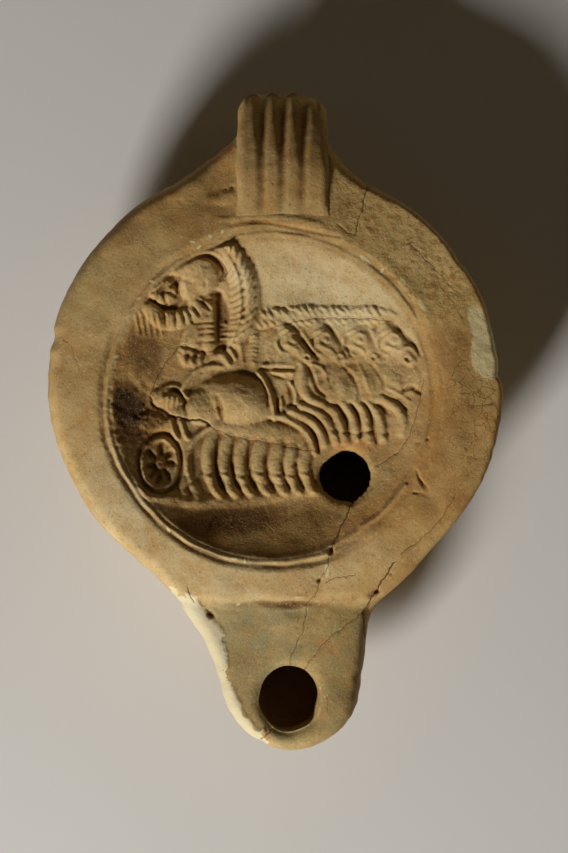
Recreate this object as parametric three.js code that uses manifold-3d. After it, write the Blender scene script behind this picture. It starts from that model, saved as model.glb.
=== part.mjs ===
// A mould-made Roman oil lamp of fired clay: a round, flat-based body with a sunken picture disc, a short
// round-ended nozzle and a ribbed, pierced handle, all one hollow piece with walls of even thickness.
//
// Frame: millimetres, +Z up. The origin is the middle of the flat base. The nozzle points along -Y and the
// handle along +Y.
import * as THREE from 'three';
import { mergeVertices } from 'three/addons/utils/BufferGeometryUtils.js';
import Module from 'manifold-3d';

const wasm = await Module();
wasm.setup();

const { lerp, smoothstep } = THREE.MathUtils;
const at = (x, y, z = 0) => new THREE.Vector3(x, y, z);

// Driving dimensions
const WALL = 3.5; // thickness of the clay, all round
const BODY_X = 41.3; // half width of the round body
const BODY_Y = 40.2; // half length of the round body, without nozzle and handle
const SEAM_Z = 18; // height of the widest line, where the two mould halves meet
const BASE_RADIUS = 20.5; // flat resting disc
const BELLY = 1.7; // fullness of the underside's curve: 1 is a straight cone, 2 a round bowl
const NOZZLE_BELLY = 1.45;
const BASE_STEP = 0.9; // height of the base disc's edge
const BASE_GROOVE = { radius: 17.5, width: 1.2, depth: 0.5 };

const RIM_Z = 27.2; // shoulder's inner edge, the highest part of the body
const RIM_RADIUS = 30.6;
const SHOULDER_SLOPE = Math.tan(THREE.MathUtils.degToRad(19.5));
const EDGE_ROLL = 4.5; // how far in from the widest line the top starts to round over

const DISC_CENTRE = at(0, -1.8);
const DISC_RADIUS = 27.8; // inner foot of the moulded ring
const DISC_DEPTH = 5.2;
const DISC_POWER = 3.3; // the dish is flatter in the middle than a bowl
const RING = { grooveRadius: 29.7, grooveDepth: 0.7, ridgeRadius: 28.7, ridgeHeight: 0.35 };
const RESTORED = { from: -68, to: 24, fade: 8 }; // degrees of the ring lost under smooth filling

const TIP = { centre: at(3, -54.5), radius: 12.1, seamZ: 15.5 }; // round end of the nozzle
const NOZZLE_ROOT_Y = -39.8; // straight line across, where the nozzle's flat top begins
const NOZZLE_TOP_Z = 24.3;
const NOZZLE_FALL = 0.07; // the flat top sinks this much for each millimetre towards the tip
const WICK_HOLE = { centre: at(2.9, -57.1), radiusX: 5.4, radiusY: 6.1 };
const FILLING_HOLE = { centre: at(12.6, -16.4), radius: 4.65 };

const HANDLE = { x: 1.4, width: 16.4, endY: 53.2, rib: 3.7, ribDepth: 0.7, corner: 1.3 };
const FINGER_HOLE = { y: 45, z: 18.2, radius: 3.8 };

const OUTLINE_STEPS = 74;
const CAVITY_STEPS = 36;
const SLIVER = 0.004;

// Where the relief's own middle lies on the disc
const PICTURE_SHIFT = at(DISC_CENTRE.x - 0.8, DISC_CENTRE.y - 0.3);

// --- closed solids -------------------------------------------------------------------------------------

/** A solid from a closed geometry, with its shared corners merged. */
function solid(geometry) {
  const bare = geometry.index ? geometry.toNonIndexed() : geometry.clone();
  for (const name of Object.keys(bare.attributes)) {
    if (name !== 'position') bare.deleteAttribute(name);
  }
  const merged = mergeVertices(bare, 1e-4);
  return new wasm.Manifold(new wasm.Mesh({
    numProp: 3,
    vertProperties: new Float32Array(merged.attributes.position.array),
    triVerts: new Uint32Array(merged.index.array),
  }));
}

/** The geometry of a finished solid, without the hair-thin slivers that joining leaves behind. */
function geometryOf(manifold) {
  const mesh = manifold.getMesh();
  const full = new THREE.BufferGeometry();
  full.setAttribute('position', new THREE.BufferAttribute(new Float32Array(mesh.vertProperties), 3));
  full.setIndex(new THREE.BufferAttribute(new Uint32Array(mesh.triVerts), 1));
  const geometry = mergeVertices(full, SLIVER);
  const corners = [...geometry.index.array];
  const kept = [];
  for (let i = 0; i < corners.length; i += 3) {
    const [a, b, c] = corners.slice(i, i + 3);
    if (a !== b && b !== c && c !== a) kept.push(a, b, c);
  }
  geometry.setIndex(kept);
  geometry.computeVertexNormals();
  return geometry;
}

/** A closed skin over rings that all have the same number of points, each end drawn to a point. */
function loft(rings, firstPoint, lastPoint) {
  const count = rings[0].length;
  const points = [firstPoint, ...rings.flat(), lastPoint];
  const last = points.length - 1;
  const index = [];
  for (let j = 0; j < count; j++) {
    const next = (j + 1) % count;
    index.push(0, 1 + next, 1 + j);
    for (let k = 0; k < rings.length - 1; k++) {
      const low = 1 + k * count;
      const high = low + count;
      index.push(low + j, low + next, high + next, low + j, high + next, high + j);
    }
    const top = last - count;
    index.push(top + j, top + next, last);
  }
  const geometry = new THREE.BufferGeometry().setFromPoints(points);
  geometry.setIndex(index);
  return geometry;
}

/** A straight round or oval cutter between two heights. */
function upright({ centre, radius, radiusX = radius, radiusY = radius }, low, high) {
  const cylinder = new THREE.CylinderGeometry(1, 1, high - low, 24);
  cylinder.rotateX(Math.PI / 2);
  cylinder.scale(radiusX, radiusY, 1);
  cylinder.translate(centre.x, centre.y, (low + high) / 2);
  return solid(cylinder);
}

// --- plan of the body ----------------------------------------------------------------------------------

const onBody = (degrees) => {
  const angle = THREE.MathUtils.degToRad(degrees);
  return at(BODY_X * Math.cos(angle), BODY_Y * Math.sin(angle));
};
const alongBody = (degrees, distance) => {
  const angle = THREE.MathUtils.degToRad(degrees);
  return at(-BODY_X * Math.sin(angle), BODY_Y * Math.cos(angle)).setLength(distance);
};
const onTip = (degrees) => {
  const angle = THREE.MathUtils.degToRad(degrees);
  return at(Math.cos(angle), Math.sin(angle)).multiplyScalar(TIP.radius).add(TIP.centre);
};

/** Arc of the body from one bearing to another, in degrees, as a curve. */
function bodyArc(from, to) {
  const { degToRad } = THREE.MathUtils;
  const arc = new THREE.EllipseCurve(0, 0, BODY_X, BODY_Y, degToRad(from), degToRad(to));
  return new THREE.CatmullRomCurve3(arc.getPoints(24).map((p) => at(p.x, p.y)));
}

/** The lamp's plan, counter-clockwise from the right of the nozzle. The ears sweep back into the handle. */
function planPoints(count, withEars) {
  const plan = new THREE.CurvePath();
  const rightRoot = -41;
  const leftRoot = 228;
  const rightEar = 61;
  const leftEar = 121;
  const tipRight = 353;
  const tipLeft = 187;
  if (withEars) {
    const half = HANDLE.width / 2;
    const earY = 41;
    const backY = 46;
    const rightBack = at(HANDLE.x + half, backY);
    const leftBack = at(HANDLE.x - half, backY);
    plan.add(bodyArc(rightRoot, rightEar));
    plan.add(new THREE.QuadraticBezierCurve3(onBody(rightEar), at(rightBack.x, earY), rightBack));
    plan.add(new THREE.LineCurve3(rightBack, leftBack));
    plan.add(new THREE.QuadraticBezierCurve3(leftBack, at(leftBack.x, earY), onBody(leftEar)));
    plan.add(bodyArc(leftEar, leftRoot));
  } else {
    plan.add(bodyArc(rightRoot, leftRoot));
  }
  plan.add(new THREE.CubicBezierCurve3(
    onBody(leftRoot),
    onBody(leftRoot).add(alongBody(leftRoot, 14)),
    onTip(tipLeft).add(at(-1.4, 11.9)),
    onTip(tipLeft),
  ));
  const { degToRad } = THREE.MathUtils;
  const end = new THREE.EllipseCurve(
    TIP.centre.x, TIP.centre.y, TIP.radius, TIP.radius, degToRad(tipLeft), degToRad(tipRight),
  );
  plan.add(new THREE.CatmullRomCurve3(end.getPoints(16).map((p) => at(p.x, p.y))));
  plan.add(new THREE.CubicBezierCurve3(
    onTip(tipRight),
    onTip(tipRight).add(at(0.9, 13)),
    onBody(rightRoot).sub(alongBody(rightRoot, 21)),
    onBody(rightRoot),
  ));
  return plan.getSpacedPoints(count).slice(0, count);
}

/** The plan moved inwards by a distance, square to itself. */
function inset(points, distance) {
  return points.map((point, j) => {
    const before = points[(j + points.length - 1) % points.length];
    const after = points[(j + 1) % points.length];
    const run = after.clone().sub(before).normalize();
    return point.clone().add(at(-run.y, run.x).multiplyScalar(distance));
  });
}

/** For each plan point, the point of a circle that lies the same way from the circle's centre. */
function circleTowards(points, centre, radius, z) {
  return points.map((point) => {
    const spoke = point.clone().sub(centre).setZ(0).setLength(radius);
    return centre.clone().add(spoke).setZ(z);
  });
}

// --- heights -------------------------------------------------------------------------------------------

/** 1 on the nozzle, 0 on the round body. */
const nozzleShare = (y) => smoothstep(-y, -NOZZLE_ROOT_Y - 2, -NOZZLE_ROOT_Y + 0.6);

const seamHeight = (y) => lerp(SEAM_Z, TIP.seamZ, smoothstep(-y, 35, 66));

/** Top of the shoulder and nozzle, before the edge rounds over. */
function topHeight(x, y) {
  const distance = Math.hypot(x - DISC_CENTRE.x, y - DISC_CENTRE.y);
  const shoulder = RIM_Z - SHOULDER_SLOPE * Math.max(distance - RIM_RADIUS, 0);
  const nozzle = NOZZLE_TOP_Z + NOZZLE_FALL * (y - NOZZLE_ROOT_Y);
  return lerp(shoulder, nozzle, nozzleShare(y));
}

/** Floor of the picture disc at a distance from its middle. */
const dishHeight = (distance) =>
  RIM_Z - 0.4 - DISC_DEPTH * (1 - Math.pow(Math.min(distance / DISC_RADIUS, 1), DISC_POWER));

/** How much of the moulded ring survives on a bearing from the disc's middle, 0 to 1. */
function ringSurvival(point) {
  const bearing = THREE.MathUtils.radToDeg(
    Math.atan2(point.y - DISC_CENTRE.y, point.x - DISC_CENTRE.x),
  );
  const lost = smoothstep(bearing, RESTORED.from - RESTORED.fade, RESTORED.from)
    * (1 - smoothstep(bearing, RESTORED.to, RESTORED.to + RESTORED.fade));
  return 1 - lost;
}

// --- body ----------------------------------------------------------------------------------------------

/** The body's skin, moved inwards by a thickness: 0 gives the outside, WALL gives the hollow. */
function bodySkin(thickness, steps) {
  const plan = planPoints(steps, thickness === 0);
  const seam = inset(plan, thickness).map((p) => p.setZ(seamHeight(p.y)));
  const baseRadius = BASE_RADIUS - thickness * 0.6;
  const base = circleTowards(seam, at(0, 0), baseRadius, thickness);

  // The underside curves from the flat base out to the seam; under the nozzle it runs straighter.
  const foot = thickness + BASE_STEP;
  const below = [1, 0.7, 0.38, 0.12].map((share) => seam.map((p, j) => {
    const power = lerp(BELLY, NOZZLE_BELLY, smoothstep(-p.y, 30, 52));
    const drop = (1 - (1 - share) ** power) ** (1 / power);
    return p.clone().lerp(base[j], share * 0.98).setZ(lerp(p.z, foot, drop));
  }));

  // The top rounds over from the seam, then rises to the rim.
  const rolled = [0.06, 0.4, 1].map((share) => inset(plan, thickness + EDGE_ROLL * share).map((p) => {
    const top = topHeight(p.x, p.y) - thickness;
    const rise = (1 - (1 - share) ** 4) ** 0.5;
    return p.setZ(lerp(seamHeight(p.y), top, rise));
  }));
  const rimRadius = RIM_RADIUS - thickness * 0.4;
  const rim = circleTowards(seam, DISC_CENTRE, rimRadius, RIM_Z - thickness);
  const shoulder = rolled[2].map((p, j) => {
    const ring = p.clone().lerp(rim[j], 0.55);
    return ring.setZ(topHeight(ring.x, ring.y) - thickness);
  });

  const discRing = (radius, lift) => circleTowards(seam, DISC_CENTRE, radius, 0).map((p) => {
    const floor = radius > DISC_RADIUS ? RIM_Z : dishHeight(radius);
    return p.setZ(floor + lift * ringSurvival(p) - thickness);
  });
  const moulding = thickness > 0 ? [] : [
    discRing(RING.grooveRadius, -RING.grooveDepth),
    discRing(RING.ridgeRadius, RING.ridgeHeight),
  ];
  const dish = [1, 0.82, 0.5].map((share) => discRing(DISC_RADIUS * share, 0));
  const middle = DISC_CENTRE.clone().setZ(dishHeight(0) - thickness);
  return loft(
    [base, ...below, seam, ...rolled, shoulder, rim, ...moulding, ...dish],
    at(0, 0, thickness),
    middle,
  );
}

/** Shallow circular groove that marks off the base. */
function baseGroove() {
  const { radius, width, depth } = BASE_GROOVE;
  const profile = [
    new THREE.Vector2(radius - width / 2, -1),
    new THREE.Vector2(radius + width / 2, -1),
    new THREE.Vector2(radius + width / 2, 0),
    new THREE.Vector2(radius, depth),
    new THREE.Vector2(radius - width / 2, 0),
    new THREE.Vector2(radius - width / 2, -1),
  ];
  const ring = new THREE.LatheGeometry(profile, 40);
  ring.rotateX(Math.PI / 2);
  return solid(ring);
}

/** Groove pressed straight across the nozzle's root. */
function rootGroove() {
  const radius = 1.1;
  const rod = new THREE.CylinderGeometry(radius, radius, 30, 10);
  rod.rotateZ(Math.PI / 2);
  rod.translate(TIP.centre.x - 0.5, NOZZLE_ROOT_Y, NOZZLE_TOP_Z + radius - 0.35);
  return solid(rod);
}

// --- handle --------------------------------------------------------------------------------------------

/** The handle's side view as points (y, z): up off the shoulder, over, and back under into the body. */
function handleProfile() {
  const side = new THREE.Path();
  side.moveTo(29.9, 26.3);
  side.bezierCurveTo(31.5, 27.7, 36, 27.9, 39.4, 27.2);
  side.bezierCurveTo(43, 26.4, 47, 24.8, 50.4, 22.9);
  side.bezierCurveTo(52.1, 21.9, HANDLE.endY, 20.8, HANDLE.endY, 19);
  side.bezierCurveTo(HANDLE.endY, 13.5, 48.5, 8.4, 37, 8.2);
  side.lineTo(34.5, 12);
  side.lineTo(34.5, 22);
  return side.getPoints(4);
}

/** How deep the outer surface is pressed in at a place across the handle, by its ribs and corners. */
function ribDepth(across) {
  const half = HANDLE.width / 2;
  const fromEdge = half - Math.abs(across);
  const fluted = Math.abs(across) < HANDLE.rib * 1.5;
  const flute = fluted ? HANDLE.ribDepth * (0.5 + 0.5 * Math.cos((2 * Math.PI * across) / HANDLE.rib)) : 0;
  const corner = Math.max(HANDLE.corner - fromEdge, 0);
  const round = HANDLE.corner - Math.sqrt(HANDLE.corner ** 2 - corner ** 2);
  return flute + round;
}

/** The ribbed handle before it is pierced: slices of the side view set side by side. */
function handle() {
  const outer = handleProfile().map((p) => at(0, p.x, p.y));
  const middle = at(0, 41, 18);
  const slices = 20;
  const rings = [];
  for (let i = 0; i <= slices; i++) {
    const across = (0.5 - i / slices) * HANDLE.width;
    rings.push(outer.map((p) => {
      const pressed = ribDepth(across) * smoothstep(p.y, 31, 35);
      const inwards = middle.clone().sub(p).setLength(pressed);
      return p.clone().add(inwards).setX(HANDLE.x + across);
    }));
  }
  const end = (x) => middle.clone().setX(x);
  return loft(rings, end(rings[0][0].x), end(rings.at(-1)[0].x));
}

/** Round hole for a finger or a hanging cord, from side to side. */
function fingerHole() {
  const rod = new THREE.CylinderGeometry(FINGER_HOLE.radius, FINGER_HOLE.radius, 60, 24);
  rod.rotateZ(Math.PI / 2);
  rod.translate(HANDLE.x, FINGER_HOLE.y, FINGER_HOLE.z);
  return solid(rod);
}

// --- picture on the disc -------------------------------------------------------------------------------

/** A point of the picture, laid on the disc's floor. */
function onDisc(x, y, lift = 0) {
  const point = at(x, y).add(PICTURE_SHIFT);
  const distance = Math.hypot(point.x - DISC_CENTRE.x, point.y - DISC_CENTRE.y);
  return point.setZ(dishHeight(distance) + lift);
}

/** A raised rounded line through points of the picture. */
function ridge(points, radius, steps = 3) {
  const section = new THREE.Shape(new THREE.EllipseCurve(0, 0, radius, radius).getPoints(4).slice(0, 4));
  const extrudePath = new THREE.CatmullRomCurve3(points.map(([x, y]) => onDisc(x, y, radius * 0.1)));
  return solid(new THREE.ExtrudeGeometry(section, { steps, bevelEnabled: false, extrudePath }));
}

/** A raised rounded mass of the picture: half lengths along and across, height, and turn in degrees. */
function mound(x, y, along, across, height, turn = 0) {
  const ball = new THREE.SphereGeometry(1, 9, 6);
  ball.scale(along, across, height);
  ball.rotateZ(THREE.MathUtils.degToRad(turn));
  const place = onDisc(x, y);
  ball.translate(place.x, place.y, place.z);
  return solid(ball);
}

/** Spoked chariot wheel. */
function wheel() {
  const [x, y, halfWidth, halfHeight] = [-19.8, -12.3, 3.5, 4.6];
  const rimTurn = (angle) => [x + halfWidth * Math.cos(angle), y + halfHeight * Math.sin(angle)];
  const rimPoints = Array.from({ length: 13 }, (_, i) => rimTurn(0.3 + (i * Math.PI) / 5.9));
  const spokes = [0, 1, 2, 3].map((i) => {
    const angle = (i * Math.PI) / 4;
    return ridge([rimTurn(angle), [x, y], rimTurn(angle + Math.PI)], 0.42, 4);
  });
  return [ridge(rimPoints, 0.8, 12), ...spokes, mound(x, y, 1.2, 1.2, 0.9)];
}

/** Hind legs side by side, from the bellies down to the ground line. */
function hindLegs() {
  const legs = [];
  for (let i = 0; i < 7; i++) {
    const x = -11.5 + i * 2.95;
    const sweep = 1.4 - i * 0.22;
    legs.push(ridge([
      [x + sweep, -6.8 - i * 0.25], [x, -10.8], [x + 0.2, -14], [x + 1.4, -16], [x + 2.6, -18.1 + i * 0.12],
    ], 0.85));
  }
  return [...legs, ridge([[-24, -17.4], [-16, -18.4], [-8, -18.8], [2, -17.8], [7, -17.2]], 0.6)];
}

/** Forelegs in mid-gallop, fanned out under the chests. */
function foreLegs() {
  const legs = [
    ridge([[3.6, -2.8], [6.6, -3.8], [8.9, -6], [10.3, -8.6]], 0.9),
    ridge([[6.4, -0.6], [9.4, -2.6], [11.3, -4.8], [12.8, -7.8]], 0.9),
  ];
  for (let i = 0; i < 4; i++) {
    const x = 12.2 + i * 2.3;
    legs.push(ridge([[x - 0.9, -0.8], [x + 0.7, -3], [x + 1.8, -5.2], [x + 2.3, -7.6]], 0.85));
  }
  legs.push(ridge([[19, 0.6], [22.4, -1.6], [23.8, -4], [23.2, -6.8]], 0.8));
  return legs;
}

/** Four heads behind each other, each with its neck sweeping down to the chest. */
function horses() {
  const parts = [mound(-5.6, -0.4, 7.6, 4.6, 1.5), mound(-12.6, -1.4, 3, 3.4, 1.1)];
  for (let i = 0; i < 4; i++) {
    const x = 3.4 + i * 6;
    const y = 10 - i * 0.2;
    parts.push(mound(x, y, 2.9, 2.1, 1.2, -50));
    parts.push(mound(x + 2.4, y - 2.8, 1.5, 1.1, 0.9, -50));
    parts.push(ridge([[x - 0.6, y - 3.4], [x + 1.6, y - 6.4], [x + 2.6, y - 9.4]], 0.9, 4));
  }
  return parts;
}

/** Winged driver: head, body, wing, sleeve and the curved front of the chariot. */
function driver() {
  return [
    mound(-12.6, 21.6, 3.1, 3, 1.3),
    mound(-12.4, 11, 2.6, 2.8, 1),
    mound(-14.4, 6.9, 2.8, 1.4, 0.8),
    ridge([[-7.6, 25.4], [-5.6, 23.2], [-4.9, 19.4], [-4.8, 15], [-5.6, 10.6]], 1.3, 6),
    ridge([[-21.4, 15.6], [-19.4, 13.4], [-16.6, 13.6], [-13.2, 15.6]], 1.3),
    ridge([[-21, 17.4], [-20.4, 20.4], [-17.8, 20.6], [-17, 18], [-19, 16.4]], 0.7),
    ridge([[-15.4, 1], [-13.4, 4], [-10.4, 5.4], [-7.4, 4.8]], 0.6),
    ridge([[-1.7, 4], [-0.3, 1], [0.3, -1.4], [0.6, -3.6]], 0.55, 4),
    ridge([[-9, -5.2], [-2, -4.6], [3, -4.4], [6.8, -6.8], [8.1, -10]], 0.75, 6),
    ridge([[-1, 5.3], [4, 5.4]], 0.45, 1),
  ];
}

/** Rows of locks along the crest above the horses' heads. */
function manes() {
  const locks = [];
  for (let i = 0; i < 9; i++) {
    const x = -1 + i * 2.3;
    const y = 13.6 + 1.9 * Math.sin((Math.PI * (i + 1)) / 12);
    locks.push(ridge([[x - 0.6, y + 0.9], [x + 0.5, y - 0.8]], 0.5, 1));
  }
  return locks;
}

// --- the lamp ------------------------------------------------------------------------------------------

function lamp() {
  const relief = [...wheel(), ...hindLegs(), ...foreLegs(), ...horses(), ...driver(), ...manes()];
  const raised = wasm.Manifold.union([solid(bodySkin(0, OUTLINE_STEPS)), solid(handle()), ...relief]);
  const cuts = wasm.Manifold.union([
    solid(bodySkin(WALL, CAVITY_STEPS)),
    upright(FILLING_HOLE, SEAM_Z - 3, RIM_Z + 5),
    upright(WICK_HOLE, TIP.seamZ, NOZZLE_TOP_Z + 5),
    fingerHole(),
    baseGroove(),
    rootGroove(),
  ]);
  return raised.subtract(cuts);
}

const clay = new THREE.MeshStandardMaterial({ color: 0xb0925f, roughness: 0.85, metalness: 0 });
const body = new THREE.Mesh(geometryOf(lamp()), clay);
body.name = 'lamp';

const group = new THREE.Group();
group.add(body);

export default group;
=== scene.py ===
"""A mould-made Roman oil lamp of fired clay, with a chariot team in relief on its sunken disc.

The lamp is one hollow piece. Its upper skin is a height over the plan: the turned forms come from
formulas, and the picture and the wear are modelled in clay, stroke by stroke, on fine height sheets.
Lengths are in millimetres until the meshes are made, which are in metres.
"""
import math
import bpy
import numpy as np
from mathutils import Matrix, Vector
from mathutils.geometry import delaunay_2d_cdt


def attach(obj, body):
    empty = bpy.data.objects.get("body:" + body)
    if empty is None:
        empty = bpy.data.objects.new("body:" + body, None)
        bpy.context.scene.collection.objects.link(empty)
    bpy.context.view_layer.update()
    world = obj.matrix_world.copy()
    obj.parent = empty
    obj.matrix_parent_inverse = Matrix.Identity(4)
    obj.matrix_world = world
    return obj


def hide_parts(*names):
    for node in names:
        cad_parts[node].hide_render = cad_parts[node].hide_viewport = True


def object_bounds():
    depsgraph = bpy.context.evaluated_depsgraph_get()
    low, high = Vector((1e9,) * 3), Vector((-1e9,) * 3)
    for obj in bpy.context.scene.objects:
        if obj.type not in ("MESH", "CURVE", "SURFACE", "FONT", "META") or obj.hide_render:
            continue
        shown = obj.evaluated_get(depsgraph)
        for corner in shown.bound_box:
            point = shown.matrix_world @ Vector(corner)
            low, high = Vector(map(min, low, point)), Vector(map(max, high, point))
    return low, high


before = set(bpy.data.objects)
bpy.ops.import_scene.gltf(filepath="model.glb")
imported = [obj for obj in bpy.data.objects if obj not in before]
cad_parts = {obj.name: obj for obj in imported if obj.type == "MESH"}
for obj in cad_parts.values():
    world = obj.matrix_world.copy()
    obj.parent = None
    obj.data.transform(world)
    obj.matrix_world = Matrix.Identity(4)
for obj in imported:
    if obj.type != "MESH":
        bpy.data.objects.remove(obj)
cad_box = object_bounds()
MM = 0.001
low, high = (np.array(corner) / MM for corner in cad_box)

# Driving sizes
BODY_X = min(high[0], -low[0])  # half width of the round body
BODY_Y = 0.975 * BODY_X
TIP_Y = low[1]
HANDLE_END = high[1]
WALL = 3.5
SEAM_Z = 18.0
TIP_SEAM_Z = 15.5
BASE_RADIUS = 20.5
RIM_Z = 27.2
LIP = 0.4  # how far the disc's edge lies below the rim
RIM_RADIUS = 31.2
SHOULDER_SLOPE = math.tan(math.radians(11))
EDGE_ROLL = 3.3
DISC = np.array([-0.76, -2.6])  # middle of the sunken disc
DISC_RADIUS = 28.6
DISC_DEPTH = 5.2
DISC_POWER = 3.3
RING = 30.1  # radius of the groove in the moulded ring round the disc
RING_IN, RING_OUT = 28.4, 31.5  # radii that the ring lies between
TIP = np.array([3.0, TIP_Y + 12.1])  # centre of the nozzle's round end
TIP_RADIUS = 12.1
NOZZLE_ROOT = -39.8
NOZZLE_TOP = 24.6
NOZZLE_FALL = 0.07
WICK_HOLE = np.array([2.6, -56.75])
WICK_HALF = 5.45, 6.05  # half its width and half its length
FILLING_HOLE = np.array([12.65, -16.4])
FILLING_RADIUS = 4.65
HANDLE_X = 1.4
HANDLE_WIDTH = 16.4
HANDLE_FOOT = 29.4
HANDLE_CORNER = 1.5  # radius of its long edges
FINGER_HOLE = 45, 18.2  # middle, as y and z
FINGER_RADIUS = 3.8
PICTURE = np.array([-0.8, -2.07])  # where the picture's own middle lies on the lamp
PICTURE_HALF = 29  # half the side of the square it is modelled on
PICTURE_REACH = 28.5  # radius it fills
SHEET_LOW, SHEET_HIGH = (-43, -68), (43, 53)  # corners of the field that the whole plan lies in


# --- small maths ---------------------------------------------------------------------------------------

def smooth(x, start, end):
    """0 before start, 1 after end, with soft ends."""
    t = np.clip((x - start) / (end - start), 0, 1)
    return t * t * (3 - 2 * t)


def mix(a, b, t):
    return a + (b - a) * t


def hump(x, middle, half):
    """A soft bump of height 1 around a middle."""
    return np.exp(-(((x - middle) / half) ** 2))


def turned(across, forward, turn):
    """Offsets measured along and across a direction, given in degrees."""
    c, s = math.cos(math.radians(turn)), math.sin(math.radians(turn))
    return across * c + forward * s, forward * c - across * s


def curve(points, step=0.12):
    """Even samples of a smooth line through points, and how far along each lies, 0 to 1."""
    p = np.asarray(points, float)
    if len(p) > 2:
        ends = np.vstack([2 * p[0] - p[1], p, 2 * p[-1] - p[-2]])
        t = np.linspace(0, 1, 12, endpoint=False)[:, None]
        runs = []
        for a, b, c, d in zip(ends, ends[1:], ends[2:], ends[3:]):
            runs.append(0.5 * (2 * b + (c - a) * t + (2 * a - 5 * b + 4 * c - d) * t**2
                               + (3 * b - a - 3 * c + d) * t**3))
        p = np.vstack(runs + [p[-1:]])
    travelled = np.concatenate([[0], np.cumsum(np.linalg.norm(np.diff(p, axis=0), axis=1))])
    count = max(2, int(travelled[-1] / step) + 1)
    along = np.linspace(0, 1, count)
    return np.stack([np.interp(along * travelled[-1], travelled, axis) for axis in p.T], 1), along


def spread(value, along):
    """A size that is one number, or a list of numbers evenly along a line."""
    values = np.atleast_1d(np.asarray(value, float))
    return np.interp(along, np.linspace(0, 1, len(values)), values)


def blur(field, cells):
    """A field softened by a Gaussian of a given size in cells."""
    fx = np.fft.fftfreq(field.shape[0])[:, None]
    fy = np.fft.rfftfreq(field.shape[1])[None, :]
    keep = np.exp(-2 * (np.pi * cells) ** 2 * (fx**2 + fy**2))
    return np.fft.irfft2(np.fft.rfft2(field) * keep, field.shape)


def grain(shape, cells, seed):
    """Soft random relief of about unit height, with lumps of a given size in cells."""
    noise = blur(np.random.default_rng(seed).normal(size=shape), cells)
    return noise / noise.std()


class Sheet:
    """Heights over a rectangle, on a fine square grid, that strokes and masses are modelled on."""

    def __init__(self, low, high, step):
        self.low, self.step = np.array(low, float), step
        count = np.ceil((np.array(high) - low) / step).astype(int) + 1
        axes = [self.low[i] + step * np.arange(count[i]) for i in (0, 1)]
        self.x, self.y = np.meshgrid(*axes, indexing="ij")
        self.z = np.zeros(count)

    def window(self, low, high):
        """The part of the grid that lies between two corners."""
        first = np.clip(((low - self.low) / self.step).astype(int), 0, self.z.shape)
        last = np.clip(((high - self.low) / self.step).astype(int) + 2, 0, self.z.shape)
        return slice(first[0], last[0]), slice(first[1], last[1])

    def profile(self, points, width, power):
        """Cross-section heights of 0 to 1 around a line, its window, and how far along each cell is."""
        samples, along = curve(points)
        half = spread(width, along) / 2
        reach = half.max()
        box = self.window(samples.min(0) - reach, samples.max(0) + reach)
        x, y = self.x[box], self.y[box]
        nearest = np.full(x.shape, np.inf)
        where, halves = np.zeros(x.shape), np.ones(x.shape)
        for k in range(0, len(samples), 10):
            part = samples[k:k + 10]
            inner = self.window(part.min(0) - reach, part.max(0) + reach)
            cut = tuple(slice(i.start - b.start, i.stop - b.start) for i, b in zip(inner, box))
            gap = np.hypot(x[cut][..., None] - part[:, 0], y[cut][..., None] - part[:, 1])
            index = gap.argmin(-1)
            gap = gap.min(-1)
            closer = gap < nearest[cut]
            nearest[cut] = np.where(closer, gap, nearest[cut])
            where[cut] = np.where(closer, along[k:k + 10][index], where[cut])
            halves[cut] = np.where(closer, half[k:k + 10][index], halves[cut])
        shape = np.clip(1 - (nearest / halves) ** 2, 0, 1) ** power
        return box, shape, where

    def add(self, points, width, height, power=1.0):
        """Raise a rounded line of clay, or with a negative height press a groove."""
        box, shape, where = self.profile(points, width, power)
        self.z[box] += shape * spread(height, where)

    def lay(self, points, width, height, power=0.6):
        """Lay a roll of clay, which hides what lies lower."""
        box, shape, where = self.profile(points, width, power)
        roll = shape * spread(height, where)
        self.z[box] = np.where(shape > 0, np.maximum(self.z[box], roll), self.z[box])

    def oval(self, x, y, along, across, turn):
        """1 at the middle of an oval, 0 at its edge and beyond."""
        reach = max(along, across)
        box = self.window(np.array([x, y]) - reach, np.array([x, y]) + reach)
        u, v = turned(self.x[box] - x, self.y[box] - y, turn)
        return box, np.clip(1 - (u / along)**2 - (v / across)**2, 0, 1)

    def mass(self, x, y, along, across, height, turn=0, power=0.5):
        """Set a rounded mass of clay, which hides what lies lower."""
        box, shape = self.oval(x, y, along, across, turn)
        self.z[box] = np.where(shape > 0, np.maximum(self.z[box], height * shape**power), self.z[box])

    def press(self, x, y, along, across, height, turn=0, power=1.0):
        """Swell, or with a negative height dent, an oval place."""
        box, shape = self.oval(x, y, along, across, turn)
        self.z[box] += height * shape**power

    def at(self, x, y):
        """Heights at any places, between the grid's own."""
        u = np.clip((x - self.low[0]) / self.step, 0, self.z.shape[0] - 1.001)
        v = np.clip((y - self.low[1]) / self.step, 0, self.z.shape[1] - 1.001)
        i, j = u.astype(int), v.astype(int)
        s, t = u - i, v - j
        z = self.z
        return mix(mix(z[i, j], z[i + 1, j], s), mix(z[i, j + 1], z[i + 1, j + 1], s), t)


def picture_sheet():
    return Sheet((-PICTURE_HALF, -PICTURE_HALF), (PICTURE_HALF, PICTURE_HALF), 0.08)


def lamp_sheet():
    return Sheet(SHEET_LOW, SHEET_HIGH, 0.1)


# --- the picture on the disc ---------------------------------------------------------------------------

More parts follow.
